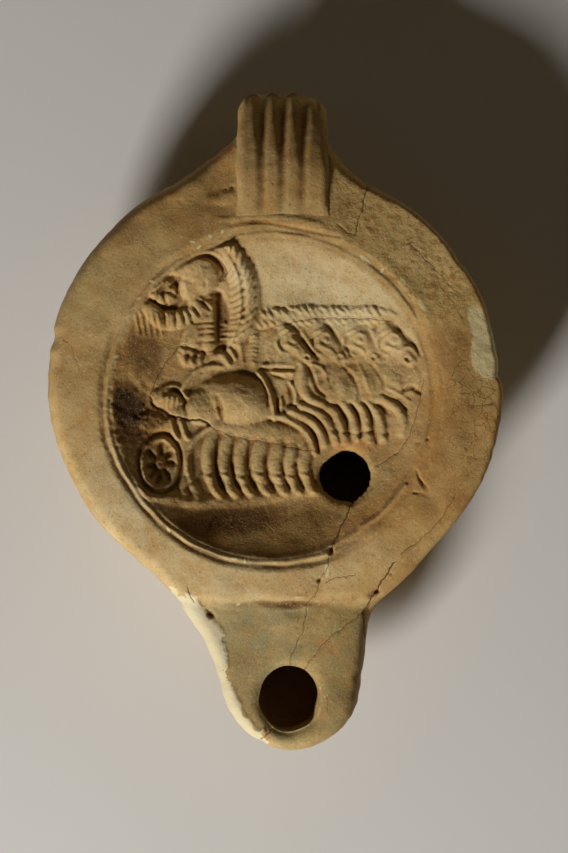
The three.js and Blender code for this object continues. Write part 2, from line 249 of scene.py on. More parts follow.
def wheel(clay):
    """Spoked chariot wheel, sunk into the ground around it, its spokes worn to petals."""
    x, y, half_x, half_y = -19.9, -12.1, 3.65, 5.2

    def rim(turn, share=1.0):
        return x + half_x * share * math.cos(turn), y + half_y * share * math.sin(turn)

    clay.press(x, y, half_x * 1.14, half_y * 1.12, -0.95, power=0.6)
    clay.press(x, y, half_x, half_y, 0.78, power=0.35)
    for i in range(8):
        turn = 2 * math.pi * (i + 0.3 * math.sin(5 * i)) / 8
        clay.add([rim(turn, 0.24), rim(turn + 0.05, 0.5), rim(turn, 0.7)], [0.8, 1.4, 1.2],
                 [-0.4, -0.95, -0.6], 0.9)
    for share, width, rise in ((0.3, 0.7, -0.4), (0.84, 1.1, 0.4), (1.07, 0.9, -0.45)):
        clay.add([rim(2 * math.pi * i / 24, share) for i in range(25)], width, rise)
    clay.press(x, y, 1.0, 1.2, 0.35)
    clay.press(x + 0.1, y - 0.1, 0.5, 0.5, -0.4)


def ground(clay):
    """Ledge that the team gallops on."""
    clay.lay([(-24.2, -16.9), (-20, -18), (-14, -18.9), (-6, -19), (0, -18.2), (5, -17.6), (9, -17.4)],
             [2.0, 2.8, 2.8, 2.6, 2.4, 1.8, 1.0], [0.4, 0.5, 0.5, 0.45, 0.4, 0.3, 0.1], 0.9)


def hind_legs(clay):
    """Hind legs of the team side by side, each a thigh, a hock and a hoof."""
    middles = [-11.2, -8.3, -5.45, -2.15, 0.95, 3.45, 6.1]
    tops = [-6.6, -6.8, -7.2, -7.9, -8.6, -9.2, -9.6]
    for i, (x, top) in enumerate(zip(middles, tops)):
        near = 1 - i / 9
        bow = 1.2 * near
        height = 0.45 + 0.65 * near
        wide = (2.6, 2.7, 2.7, 3.0, 2.9, 2.5, 2.5)[i]
        thigh = [(x + bow, top + 0.4), (x + 0.25 * bow, top - 2), (x - 0.1, -11.6), (x + 0.1, -13.6)]
        clay.lay(thigh, [wide * 0.85, wide, wide, wide * 0.9], [height * 0.8, height, height, height], 0.7)
        shank = [(x + 0.1, -13.6), (x + 0.5, -15.2), (x + 1.2, -16.8)]
        clay.lay(shank, [wide * 0.9, wide * 0.78, wide * 0.7], [height, height * 0.9, height * 0.8], 0.7)
        hoof = [(x + 1.1, -16.6), (x + 1.7 + 0.3 * near, -17.9 + 0.12 * i)]
        clay.lay(hoof, [1.9, 1.75], [height * 0.95, 0.8 * height], 0.6)
        bend = 0.35 * math.sin(2.4 * i)
        clay.add([(x - 1.2, -13.7 + bend), (x + 0.8, -14.1 + bend)], 0.7, -0.12 * near - 0.04)
        clay.add([(x - 1.1, -14.4 + bend), (x + 0.8, -14.8 + bend)], 0.7, 0.2)
        clay.add([(x - 0.4, -15.7 + bend), (x + 1.6, -16.0)], 0.6, -0.12)
        clay.press(x + 1.5, -17.4, 0.9, 0.6, 0.22)
        gap = [(x + 1.6, top - 1.2), (x + 1.25, -12), (x + 1.5, -14.4), (x + 2.4, -16.6)]
        clay.add(gap, [0.5, 0.9, 0.9, 0.6], -0.2 * near - 0.08)
    clay.lay([(-11.2, -5.6), (-13.6, -7.6), (-14.9, -10.4), (-15, -13), (-14.5, -15)],
             [1.0, 1.3, 1.4, 1.4, 1.2], [0.8, 0.9, 0.85, 0.75, 0.6])
    clay.lay([(-15.2, -15), (-15.8, -16.6), (-15.2, -18)], 1.6, 0.5)
    clay.lay([(-13.8, -16.4), (-13.0, -18.2)], 1.9, 0.6)


def haunches(clay):
    """The near horse's round quarters, the bellies behind them and the chariot's curved front."""
    clay.lay([(-9.5, -5.2), (-4, -5.9), (1, -6.6), (5.2, -7.6)], [3.2, 4.2, 4.0, 3.0], [0.9, 0.95, 0.85, 0.5])
    clay.mass(-11.7, -2.0, 3.9, 3.5, 1.5, turn=20, power=0.75)
    clay.mass(-5.9, -0.9, 7.2, 5.2, 2.4, turn=-6, power=0.95)
    clay.add([(-9.4, 0.0), (-9.1, -1.6), (-8.7, -3.9)], [0.9, 1.5, 1.0], [-0.4, -0.95, -0.5])
    clay.lay([(-16.2, 0.7), (-14.9, 3.0), (-13.0, 4.9), (-10.6, 5.5), (-8.4, 5.2)],
             [0.8, 1.1, 1.1, 1.0, 0.7], [0.75, 0.85, 0.8, 0.6, 0.3])
    clay.add([(-14.4, 1.0), (-12.2, 3.2), (-8.5, 4.0), (-5, 3.9), (-2.6, 3.2)],
             [1.0, 2.2, 3.2, 3.0, 1.6], -0.45)
    clay.lay([(-2.2, 4.2), (-1.0, 2.2), (0.1, -0.4), (0.5, -2.2), (0.7, -4.0)],
             [0.8, 1.1, 1.2, 1.1, 1.0], 1.0)
    clay.add([(-1.9, 3.2), (-0.8, 0.8), (-0.4, -1.6)], 0.7, -0.5)
    clay.lay([(0.0, -3.5), (3.0, -4.0), (5.6, -5.4), (7.2, -7.4), (8.1, -10.2)], [1.2, 1.7, 1.9, 1.8, 1.3],
             [0.85, 1.0, 1.05, 0.95, 0.6])
    clay.add([(2.8, -2.7), (4.8, -3.6), (6.8, -5.2), (8, -7.4), (8.7, -10)], [0.7, 1.1, 1.2, 1.0, 0.7], -0.55)
    clay.lay([(-18.0, -4.3), (-17.6, -6.0), (-16.9, -7.6)], 1.0, 0.7)
    clay.lay([(-16.2, -4.6), (-15.7, -6.2), (-15.0, -7.6)], 1.0, 0.6)
    clay.lay([(-22.6, -4.6), (-20.6, -5.6), (-18.6, -5.2)], 2.6, 0.55)
    clay.lay([(-21.9, -3.6), (-20.2, -4.4)], 2.0, 0.6)
    clay.mass(-18.7, -0.5, 3.0, 1.9, 1.15, turn=-12)
    clay.mass(-17.0, -2.6, 2.6, 1.2, 0.85, turn=-25)
    clay.lay([(-19.6, 1.3), (-17.8, 1.9), (-16.2, 1.3), (-15.2, -0.2)], 0.9, 0.55)
    clay.add([(-18.9, 0.4), (-17.3, 0.9), (-16.0, 0.0), (-15.3, -1.0)], 0.9, -0.6)
    for u in (-18.6, -17.7, -16.8, -15.9):
        clay.add([(u, 0.5), (u + 0.2, -0.6), (u - 0.1, -2.0)], [0.5, 0.7, 0.5], 0.35)


def yoke(clay):
    """Yoke bar, its wedge, the small buckle and the strap in front of the chests."""
    clay.lay([(-1.3, 5.5), (1.5, 5.75), (4.2, 5.4)], [0.8, 1.2, 0.9], 0.6)
    clay.add([(-1, 4.85), (2, 4.95), (4.2, 4.9)], 0.6, -0.4)
    clay.lay([(0.4, 4.3), (2.2, 4.1), (3.9, 4.2)], [0.5, 1.1, 0.8], 0.55)
    clay.add([(0, 4.1), (1.4, 3.6), (2.5, 3.2)], [0.5, 0.8, 0.5], -0.35)
    clay.lay([(1.9, -0.4), (2.05, -1.7), (1.8, -3.1)], [0.5, 0.9, 0.5], 0.6)
    clay.add([(1.35, -0.5), (1.2, -1.7), (1.5, -3.1)], 0.6, -0.4)
    clay.lay([(3.5, 2.5), (4.3, 1.3), (4.6, 0), (4.4, -1.2)], [0.6, 0.9, 0.9, 0.6], 0.85)
    clay.add([(3.2, 2.3), (3.6, 0.8), (3.9, -0.8), (3.1, -2.4)], [0.7, 1.0, 1.0, 0.9], -0.4)


def horse_head(clay, x, y, near):
    """One horse's head seen from the side, looking down to the right, with its jaw, eye and muzzle."""
    lift = 0.35 * near
    clay.lay([(x - 0.6, y + 2.3), (x + 0.4, y), (x + 2.2, y - 1.9), (x + 3.6, y - 3.4)],
             [3.4, 4.5, 3.4, 2.4], [0.55 + lift, 0.75 + lift, 0.65 + lift, 0.6 + lift], 0.45)
    jaw = [(x - 0.3, y + 2.2), (x - 1.9, y + 1.3), (x - 2.4, y - 0.3), (x - 1.7, y - 1.7), (x - 0.3, y - 2.3)]
    clay.add(jaw, 0.7, 0.3)
    clay.add([(u + 0.5, v - 0.1) for u, v in jaw[1:4]], 0.55, -0.22)
    clay.add([(x - 0.9, y + 0.7), (x + 0.2, y + 1.6), (x + 1.3, y + 1.3)], 0.6, 0.3)
    clay.add([(x - 0.8, y - 0.6), (x + 0.3, y - 1.1), (x + 1.5, y - 1.6)], 0.6, 0.3)
    clay.press(x + 0.6, y + 0.15, 0.65, 0.5, 0.28, turn=-35)
    clay.add([(x - 0.3, y + 0.1), (x + 0.5, y - 0.4), (x + 1.3, y - 0.5)], 0.5, -0.28)
    clay.add([(x + 2.3, y - 3.3), (x + 3.0, y - 3.9), (x + 3.9, y - 4.3)], 0.8, 0.25)
    clay.press(x + 3.1, y - 3.0, 0.5, 0.42, -0.5, turn=-45)
    clay.add([(x + 2.5, y - 2.6), (x + 3.2, y - 2.3), (x + 3.9, y - 3.0)], 0.5, 0.25)


def team(clay):
    """The four heads behind each other, their parting grooves, necks and chests."""
    clay.lay([(2.5, 8.4), (9, 8.6), (16, 8.2), (23, 7.6)], [7, 9, 9, 6], [0.5, 0.55, 0.55, 0.4], 0.25)
    clay.lay([(6.6, 3.0), (12, 2.4), (18, 2.4), (24.0, 3.0)], [6, 8, 8, 6], [0.85, 0.9, 0.8, 0.45], 0.35)
    for i in (3, 2, 1, 0):
        horse_head(clay, 3.5 + 6.0 * i, 10.0 - 0.1 * i, 1 - i / 4)
    partings = [
        [(2.9, 13.2), (4.5, 12.0), (5.4, 10.4), (7.0, 8.6), (8.7, 6.8)],
        [(9.8, 13.0), (11.4, 11.4), (12.6, 9.8), (13.8, 8.4), (14.8, 7.1)],
        [(17.5, 12.0), (18.4, 10.2), (19.2, 8.7), (20.2, 7.4)],
    ]
    for points, width, depth in zip(partings, (1.8, 1.1, 0.9), (-0.55, -0.36, -0.3)):
        clay.add(points, [width * 0.7, width * 1.1, width * 0.8, width * 0.6, width * 0.4], depth, 0.8)
    clay.add([(4.6, 12.8), (5.9, 11.2), (7.3, 9.2), (8.6, 7.4)], [0.6, 0.9, 0.9, 0.6], 0.3)
    clay.add([(21.2, 13.4), (23.0, 12.0), (24.6, 10.4), (26.0, 9.0), (26.9, 7.4)],
             [1.0, 1.6, 1.5, 1.2, 0.6], -0.38)
    clay.add([(23.6, 8.4), (24.6, 8.9), (26.0, 8.2), (26.2, 6.8), (24.9, 5.9), (23.7, 6.9), (23.6, 8.4)],
             0.6, 0.35)
    # bridles across the muzzles
    for x, y in ((6.4, 6.6), (12.8, 6.5), (18.2, 6.6)):
        clay.add([(x - 1.6, y + 1.6), (x - 0.6, y + 0.4), (x + 0.8, y - 0.1), (x + 2.0, y + 0.8)], 0.5, 0.3)
        clay.add([(x - 0.9, y + 0.9), (x + 0.2, y - 0.9)], 0.5, -0.25)
    # near neck and the chests
    clay.lay([(5.6, 6.0), (5.9, 3.4), (6.1, 1.4), (7.2, -0.4), (9.4, -1.5)], [1.4, 2.6, 2.6, 2.2, 1.6],
             [0.9, 1.25, 1.3, 1.25, 1.0])
    clay.add([(4.9, 5.6), (4.2, 3.2), (3.9, 1.6)], [0.5, 0.9, 0.6], -0.4)
    clay.add([(6.9, 5.2), (7.9, 3.0), (8.6, 1.2), (9.9, 0.1)], [0.6, 1.0, 1.0, 0.6], -0.55)
    clay.press(9.2, 3.1, 0.9, 1.1, -0.4, turn=-40)
    clay.add([(7.4, 5.9), (9.0, 5.3), (9.9, 4.3)], [0.5, 0.8, 0.5], 0.35)
    clay.mass(12.9, 1.7, 2.3, 3.0, 1.25, turn=24, power=0.9)
    clay.mass(17.8, 2.2, 1.9, 3.1, 1.1, turn=28, power=0.9)
    clay.mass(22.3, 2.8, 2.1, 2.9, 0.85, turn=34, power=0.9)
    clay.add([(13.0, 5.5), (14.8, 3.6), (15.9, 1.2), (15.8, -0.2)], [0.5, 0.9, 0.9, 0.5], -0.3)
    clay.add([(16.0, 5.4), (17.0, 3.4), (17.6, 1.2)], [0.4, 0.7, 0.4], 0.22)
    clay.add([(18.6, 5.2), (20.1, 3.2), (20.6, 1.2), (20.3, 0.2)], [0.5, 0.9, 0.8, 0.5], -0.25)
    clay.add([(11.2, 5.4), (10.6, 3.6), (11.0, 1.6)], [0.4, 0.7, 0.4], -0.3)
    clay.add([(19.9, 0.4), (21.9, -0.8), (24.4, -2.4)], [0.7, 1.2, 0.8], -0.6)
    clay.add([(20.8, 1.6), (22.8, 0.6), (25.0, -0.9)], [0.6, 0.9, 0.6], 0.35)
    clay.add([(24.0, 1.1), (25.4, 1.6), (26.3, 1.0), (27.1, 0.5)], [0.7, 1.2, 1.1, 0.6], -0.6)


def fore_legs(clay):
    """Forelegs in mid-gallop, fanned out below the chests."""
    legs = [
        [(3.4, -2.6), (6.9, -4.2), (8.9, -6.2), (9.8, -8.6)],
        [(5.6, -1.8), (8.5, -3.0), (10.4, -4.9), (11.3, -6.8), (12.0, -8.4)],
        [(9.0, -1.5), (11.3, -2.7), (12.4, -4.6), (13.0, -6.6), (13.5, -8.2)],
        [(13.0, -1.3), (14.3, -3.0), (15.1, -4.8), (15.5, -7.6)],
        [(15.5, -1.0), (16.8, -3.0), (17.3, -5.0), (17.6, -7.8)],
        [(17.7, -1.2), (19.3, -3.2), (19.9, -5.2), (20.1, -7.8)],
        [(19.8, -0.2), (22.4, -1.9), (23.8, -4.0), (23.4, -6.6)],
    ]
    for i, leg in enumerate(legs):
        height = 1.05 - 0.05 * i
        clay.lay(leg, [1.8, 2.05, 2.0, 1.9], [height * 0.9, height, height * 0.95, height * 0.65], 0.85)
    gaps = [
        ([(3.0, -3.6), (5.5, -5.0), (7.5, -6.9), (8.3, -8.8)], 1.1, -0.45),
        ([(6.3, -2.9), (8.3, -4.1), (9.8, -6.0), (10.6, -7.4)], 0.8, -0.4),
        ([(8.6, -3.3), (10.2, -4.3), (11.3, -5.8)], 0.6, -0.3),
        ([(12.0, -1.3), (12.9, -2.8), (13.8, -4.4), (14.0, -5.8)], 0.9, -0.8),
        ([(14.3, -1.1), (15.5, -2.8), (16.1, -4.4), (16.4, -5.6)], 0.85, -0.75),
        ([(16.5, -0.9), (17.7, -2.4), (18.3, -4.4), (18.5, -5.8)], 0.85, -0.7),
        ([(18.8, -1.6), (20.4, -2.3), (21.5, -3.5)], 0.8, -0.5),
    ]
    for gap, width, depth in gaps:
        clay.add(gap, [width * 0.5, width, width, width * 0.5],
                 [depth * 0.45, depth * 0.75, depth * 0.75, depth * 0.3])
    for i in range(5):
        x = 11.5 + 2.2 * i
        bend = 0.4 * math.sin(2.2 * i + 1)
        clay.add([(x - 0.9, -6.4 + bend), (x + 0.8, -6.7 + bend)], 0.6, -0.16)
        clay.press(x + 0.2, -7.4 + bend, 0.9, 0.5, 0.2)
        clay.add([(x + 1.0, -6.6), (x + 1.15, -8.4)], 0.5, -0.2)
    clay.add([(16.3, -8.0), (16.3, -6.7), (17.4, -6.4), (18.7, -6.8), (19.2, -8.4)], 0.5, -0.4)


def feather_row(clay, spine, count, length, lean, width, height):
    """Barbs that leave a line on one side, leaning along it."""
    samples, _ = curve(spine)
    run = np.gradient(samples, axis=0)
    run /= np.linalg.norm(run, axis=1)[:, None]
    for i in range(count):
        k = int((i + 0.5) / count * (len(samples) - 1))
        root, ahead = samples[k], run[k]
        side = np.array([-ahead[1], ahead[0]]) * math.copysign(1, length)
        tip = root + side * abs(length) + ahead * lean
        clay.add([root, mix(root, tip, 0.55) + ahead * 0.12, tip], [width * 0.7, width, width * 0.5], height)


def wing(clay):
    """The driver's raised wing: a broad fan of fine barbs and, behind its rib, a row of long leaves."""
    clay.lay([(-10.6, 27.1), (-8.4, 26.7), (-6.7, 25.0), (-5.3, 22.2), (-4.5, 18.3), (-4.7, 14.2),
              (-6.0, 9.8)], [1.8, 3.6, 5.0, 5.6, 5.6, 5.0, 2.6], [0.8, 1.2, 1.4, 1.45, 1.35, 1.2, 0.8], 0.9)
    rib = [(-9.0, 27.2), (-7.2, 25.4), (-5.5, 22.4), (-4.7, 18.3), (-4.8, 14.4), (-5.6, 12.0), (-6.5, 9.8)]
    clay.lay([(-12.8, 26.2), (-10.6, 27.2), (-8.2, 26.9), (-6.2, 25.0)], [1.4, 2.6, 3.2, 3.2],
             [0.6, 1.1, 1.25, 1.3])
    feather_row(clay, rib, 15, -2.5, 1.1, 0.8, 0.36)
    feather_row(clay, rib, 12, 1.7, -2.7, 1.0, 0.5)
    feather_row(clay, [(-12.4, 26.0), (-9.8, 26.6), (-7.0, 25.6)], 7, 1.8, -0.7, 0.8, 0.3)
    clay.add(rib, [0.4, 0.8, 0.9, 0.9, 0.8, 0.6], -0.4)
    clay.add([(u - 0.75, v) for u, v in rib[1:]], 0.8, 0.22)
    column = [(-3.0, 11.4), (-3.1, 8.6), (-3.3, 5.8)]
    clay.lay(column, 1.8, 0.3)
    feather_row(clay, column, 7, -0.9, 0.2, 0.7, 0.18)
    feather_row(clay, column, 7, 0.9, 0.2, 0.7, 0.18)


def manes(clay):
    """Two rows of short locks along the crests above the heads."""
    clay.lay([(-1.6, 13.6), (3, 14.4), (8, 14.6), (14, 14.6), (20, 14.6), (22.3, 14.0)],
             [3.0, 3.4, 3.4, 3.2, 3.2, 2.0], [0.35, 0.5, 0.5, 0.45, 0.45, 0.3], 0.4)
    upper, _ = curve([(-1.4, 15.0), (3, 15.4), (8, 15.5), (14, 15.3), (21.4, 15.2)], 1.25)
    lower, _ = curve([(-2.2, 12.9), (1, 13.0), (4.6, 13.0), (9, 13.1), (15, 13.1), (20.4, 13.2)], 1.3)
    for k, (x, y) in enumerate(upper):
        tall, lean = 0.75 + 0.3 * math.sin(2.1 * k), 0.25 * math.sin(3.7 * k)
        x += 0.2 * math.sin(5.3 * k)
        clay.add([(x - 0.6 - lean, y + tall), (x, y + lean), (x + 0.7, y - tall)], [0.5, 0.9, 0.5],
                 0.3 + 0.1 * math.sin(1.3 * k))
    for k, (x, y) in enumerate(lower):
        tall = 0.55 + 0.15 * math.sin(1.7 * k)
        clay.add([(x - 0.5, y + tall), (x, y), (x + 0.55, y - tall)], [0.45, 0.7, 0.4], 0.33)
    clay.add([(0.8, 16.3), (2.6, 15.8), (4.4, 15.2)], [0.4, 0.8, 0.4], -0.35)


def driver(clay):
    """The winged driver: head and hair, raised sleeve with its folds, hand with a wreath, and tunic."""
    clay.lay([(-15.4, 8.6), (-13.6, 11.4), (-12.4, 14.0), (-13.5, 17.0)], [2.4, 4.4, 4.6, 3.0],
             [0.8, 1.25, 1.2, 0.9])
    clay.lay([(-11.0, 8.8), (-11.2, 12.0), (-11.4, 15.6)], [2.6, 3.0, 3.4], [1.1, 1.3, 1.1])
    clay.mass(-12.7, 21.6, 3.4, 3.5, 1.7, turn=15, power=0.55)
    clay.mass(-14.4, 19.6, 2.2, 2.4, 1.35, turn=-20)
    clay.mass(-15.9, 23.0, 1.8, 1.7, 0.75)
    clay.lay([(-13.8, 25.6), (-11.4, 26.2), (-9.2, 25.0), (-7.6, 22.8)], [0.9, 1.3, 1.2, 0.8], 0.9)
    clay.add([(-12.9, 25.0), (-11.0, 25.2), (-9.2, 24.1), (-8.2, 22.4), (-8.9, 21.0)],
             [0.6, 1.2, 1.5, 1.3, 0.7], [-0.5, -1.1, -1.3, -1.1, -0.5], 0.8)
    clay.press(-11.6, 23.4, 0.9, 0.5, -0.2)
    clay.press(-11.7, 20.4, 0.4, 0.7, -0.35)
    clay.press(-10.0, 18.5, 1.2, 0.9, -0.6)
    clay.add([(-14.6, 20.8), (-13.7, 20.4), (-13.0, 20.6)], 0.5, -0.22)
    clay.add([(-14.3, 18.9), (-13.6, 18.6), (-12.9, 18.8)], 0.45, -0.18)
    clay.add([(-15.3, 21.4), (-15.4, 20.0), (-15.0, 18.8)], 0.6, 0.2)
    # hand and wreath
    ring = [(-19.4 + 3.2 * math.cos(0.5 * k), 18.8 + 3.1 * math.sin(0.5 * k)) for k in range(14)]
    clay.add(ring, 1.5, -0.35)
    clay.mass(-19.5, 19.3, 2.7, 2.8, 1.0, power=0.45)
    clay.press(-19.3, 19.0, 1.1, 1.1, -0.9)
    for i in range(8):
        turn = 2 * math.pi * i / 8
        arm = [(-19.5 + r * math.cos(turn + sway), 19.3 + r * math.sin(turn + sway)) for r, sway in
               ((0.8, 0), (1.6, 0.35), (2.7, 0.3))]
        clay.add(arm, [0.5, 0.8, 0.9], [-0.4, -0.65, -0.6])
    clay.add([(-19.9, 22.1), (-18.4, 21.4), (-17.2, 20.2), (-16.6, 18.6)], [0.7, 1.1, 1.1, 0.7], -0.6)
    clay.add([(-21.9, 18.4), (-21.3, 17.2), (-20.0, 16.2), (-18.6, 15.7), (-17.0, 15.6)],
             [0.6, 1.1, 1.3, 1.2, 0.8], -0.7)
    # sleeve
    clay.lay([(-21.6, 15.6), (-19.8, 13.9), (-17.2, 13.7), (-14.6, 14.4), (-12.4, 15.8)],
             [2.6, 3.6, 3.6, 3.4, 2.8], [0.7, 1.1, 1.2, 1.2, 1.1], 0.5)
    folds = [
        [(-19.4, 16.2), (-19.0, 14.4), (-18.7, 12.6)],
        [(-17.3, 15.6), (-17.0, 13.8), (-16.9, 12.2)],
        [(-16.1, 15.5), (-15.6, 14.2), (-15.3, 12.9)],
        [(-15.2, 15.8), (-14.4, 14.6), (-14.1, 13.4)],
        [(-14.0, 16.5), (-13.4, 15.4), (-12.7, 14.6)],
        [(-13.3, 17.5), (-12.1, 16.7), (-10.9, 15.6)],
    ]
    for fold in folds:
        clay.add(fold, [0.4, 0.75, 0.5], [-0.35, -0.75, -0.45], 0.9)
    for i in range(5):
        x = -24.0 + 1.0 * i
        clay.add([(x - 0.3, 15.2 - 0.1 * i), (x + 0.15, 12.8), (x + 0.5, 10.5 + 0.2 * abs(i - 2))],
                 [0.5, 0.75, 0.45], [0.2, 0.45, 0.3])
    # tunic
    clay.add([(-14.2, 12.9), (-15.2, 11.2), (-15.6, 9.2)], 0.6, 0.3)
    for y, left in ((13.2, -13.6), (12.3, -12.9), (11.3, -12.8), (9.85, -13.2)):
        clay.add([(left, y - 0.1), (mix(left, -10, 0.5), y + 0.1), (-10.0, y)], [0.4, 0.6, 0.5], -0.42)
    clay.add([(-15.9, 9.0), (-14.4, 8.7), (-12.6, 8.05), (-10.8, 8.3), (-9.4, 8.8), (-8.4, 8.3)],
             [0.5, 0.8, 0.9, 0.8, 0.9, 0.5], -0.65)
    clay.add([(-9.2, 18.2), (-8.7, 15.2), (-8.6, 12.0), (-8.5, 9.2)], [1.6, 2.6, 2.4, 1.6], -1.05, 0.5)
    clay.add([(-9.8, 17.2), (-9.7, 14.0), (-9.65, 11.0), (-9.3, 9.2)], [0.6, 0.8, 0.7, 0.5], -0.5)
    clay.add([(-8.1, 17.6), (-7.9, 15.4), (-7.8, 13.2)], [0.6, 0.8, 0.6], -0.4)
    for y in (13.0, 12.1, 11.3, 10.4, 9.6):
        clay.add([(-9.2, y), (-7.6, y + 0.15)], 0.55, 0.4)
    clay.lay([(-16.3, 7.6), (-15.4, 6.4), (-13.6, 6.0), (-12.0, 6.4), (-11.0, 7.0)],
             [1.2, 1.9, 2.0, 1.9, 1.2], 0.55)
    for x in (-15.6, -14.2, -12.7):
        clay.add([(x + 0.1, 7.9), (x, 7.0), (x + 0.1, 5.9)], [0.7, 1.1, 0.7], 0.35)
        clay.add([(x + 0.75, 7.9), (x + 0.7, 6.0)], 0.5, -0.12)
    clay.lay([(-10.6, 7.2), (-8.8, 7.4), (-7.4, 5.8)], [1.2, 1.4, 0.9], 0.6)
    clay.add([(-7.4, 8.5), (-6.8, 7.6), (-6.3, 6.8)], 0.8, 0.6)
    clay.add([(-5.4, 8.9), (-5.2, 7.6), (-5.0, 6.2)], 0.9, 0.35)


def make_picture():
    """The whole relief, softened as a worn mould leaves it."""
    clay = picture_sheet()
    for part in (ground, hind_legs, haunches, manes, team, fore_legs, yoke, wing, driver, wheel):
        part(clay)
    clay.z = 0.98 * blur(clay.z, 1.8)
    worn = grain(clay.z.shape, 7, 3) * 0.05 + grain(clay.z.shape, 2.4, 4) * 0.022
    busy = np.clip(blur((abs(clay.z) > 0.05).astype(float), 6), 0, 1)
    clay.z += worn * (0.35 + 0.65 * busy)
    return clay


# --- the lamp's plan -----------------------------------------------------------------------------------

def arc(centre, half_x, half_y, start, end, count):
    """Part of an oval, between two directions in degrees."""
    turn = np.radians(np.linspace(start, end, count))
    return np.stack([centre[0] + half_x * np.cos(turn), centre[1] + half_y * np.sin(turn)], 1)


def bezier(a, b, c, d, count):
    """A cubic curve from a to d, drawn towards b and c."""
    t = np.linspace(0, 1, count)[:, None]
    return (1 - t)**3 * a + 3 * (1 - t)**2 * t * b + 3 * (1 - t) * t**2 * c + t**3 * d


def round_corner(start, corner, end, count):
    """A curve that leaves for a corner and arrives from it."""
    return bezier(start, mix(start, corner, 2 / 3), mix(end, corner, 2 / 3), end, count)


def on_body(turn):
    return arc((0, 0), BODY_X, BODY_Y, turn, turn, 1)[0]


def along_body(turn):
    """The way the body's edge runs at a direction, counter-clockwise."""
    t = math.radians(turn)
    way = np.array([-BODY_X * math.sin(t), BODY_Y * math.cos(t)])
    return way / np.linalg.norm(way)


def on_tip(turn):
    return arc(TIP, TIP_RADIUS, TIP_RADIUS, turn, turn, 1)[0]


def plan(ears=True):
    """Outline at the seam, counter-clockwise: body, spurs beside the handle, nozzle."""
    runs = []
    if ears:
        right, left = HANDLE_X + HANDLE_WIDTH / 2, HANDLE_X - HANDLE_WIDTH / 2
        near, far = np.array([right, 41.0]), np.array([right, 46.0])
        left_near, left_far = np.array([left - 0.5, 42.5]), np.array([left - 0.1, 47.2])
        a, b = on_body(61), on_body(121)
        runs += [arc((0, 0), BODY_X, BODY_Y, -41, 61, 220),
                 round_corner(a, near, far, 40),
                 np.linspace(far, left_far, 20),
                 round_corner(left_far, left_near, b, 40),
                 arc((0, 0), BODY_X, BODY_Y, 121, 228, 220)]
    else:
        runs += [arc((0, 0), BODY_X, BODY_Y, -41, 228, 500)]
    root, tip = on_body(228), on_tip(187)
    runs.append(bezier(root, root + along_body(228) * 14, tip + np.array([-1.4, 11.9]), tip, 60))
    runs.append(arc(TIP, TIP_RADIUS, TIP_RADIUS, 187, 353, 90))
    root, tip = on_body(-41), on_tip(353)
    runs.append(bezier(tip, tip + np.array([0.9, 13]), root - along_body(-41) * 21, root, 60))
    return np.vstack([run[:-1] for run in runs])


def even(points, count):
    """A closed line cut into equal steps."""
    closed = np.vstack([points, points[:1]])
    travelled = np.concatenate([[0], np.cumsum(np.linalg.norm(np.diff(closed, axis=0), axis=1))])
    place = np.linspace(0, travelled[-1], count, endpoint=False)
    return np.stack([np.interp(place, travelled, axis) for axis in closed.T], 1)


def outward(line):
    """Unit directions pointing out of a closed counter-clockwise line."""
    run = np.roll(line, -1, 0) - np.roll(line, 1, 0)
    side = np.stack([run[:, 1], -run[:, 0]], 1)
    return side / np.linalg.norm(side, axis=1)[:, None]


def ripple(count, waves, seed):
    """A smooth uneven measure round a closed line, of about unit size."""
    random = np.random.default_rng(seed)
    turn = np.linspace(0, 2 * np.pi, count, endpoint=False)
    total = sum(random.normal() * np.sin(k * turn + random.uniform(0, 7)) for k in waves)
    return total / total.std()


def nozzle_share(y):
    """0 on the body, 1 on the nozzle."""
    return smooth(-y, 37.8, 40.4)


def seam_height(y):
    """Height of the widest line round the lamp, lower at the tip."""
    return mix(SEAM_Z, TIP_SEAM_Z, smooth(-y, 35, 66))


# --- the upper skin ------------------------------------------------------------------------------------

def ring_left(bearing):
    """Where the moulded ring survives: 1 on it, 0 in the restored stretch at the lower right."""
    return 1 - smooth(bearing, -72, -62) * (1 - smooth(bearing, 22, 30))


def from_disc(x, y):
    """Distance of each place from the disc's middle, and its bearing in degrees."""
    across, forward = x - DISC[0], y - DISC[1]
    return np.hypot(across, forward), np.degrees(np.arctan2(forward, across))


def on_picture(x, y):
    """Places measured from the picture's middle."""
    return x - PICTURE[0], y - PICTURE[1]


def plain_top(x, y):
    """Shoulder and nozzle before the edge rounds over; the shoulder falls most towards the nozzle."""
    across, forward = x - DISC[0], y - DISC[1]
    distance = np.maximum(np.hypot(across, forward), 1)
    fall = SHOULDER_SLOPE + 0.11 * smooth(-forward / distance, 0.55, 0.95)
    fall -= 0.075 * smooth((across + 0.4 * forward) / distance, 0.4, 1.1)
    shoulder = RIM_Z - fall * np.maximum(distance - RIM_RADIUS, 0)
    nozzle = NOZZLE_TOP + NOZZLE_FALL * (y - NOZZLE_ROOT) - 0.022 * np.maximum(x - 7.5, 0)**2
    return mix(shoulder, nozzle - 0.012 * np.maximum(-4.5 - x, 0)**2,
               nozzle_share(y + 0.35 * np.sin(0.5 * x)))


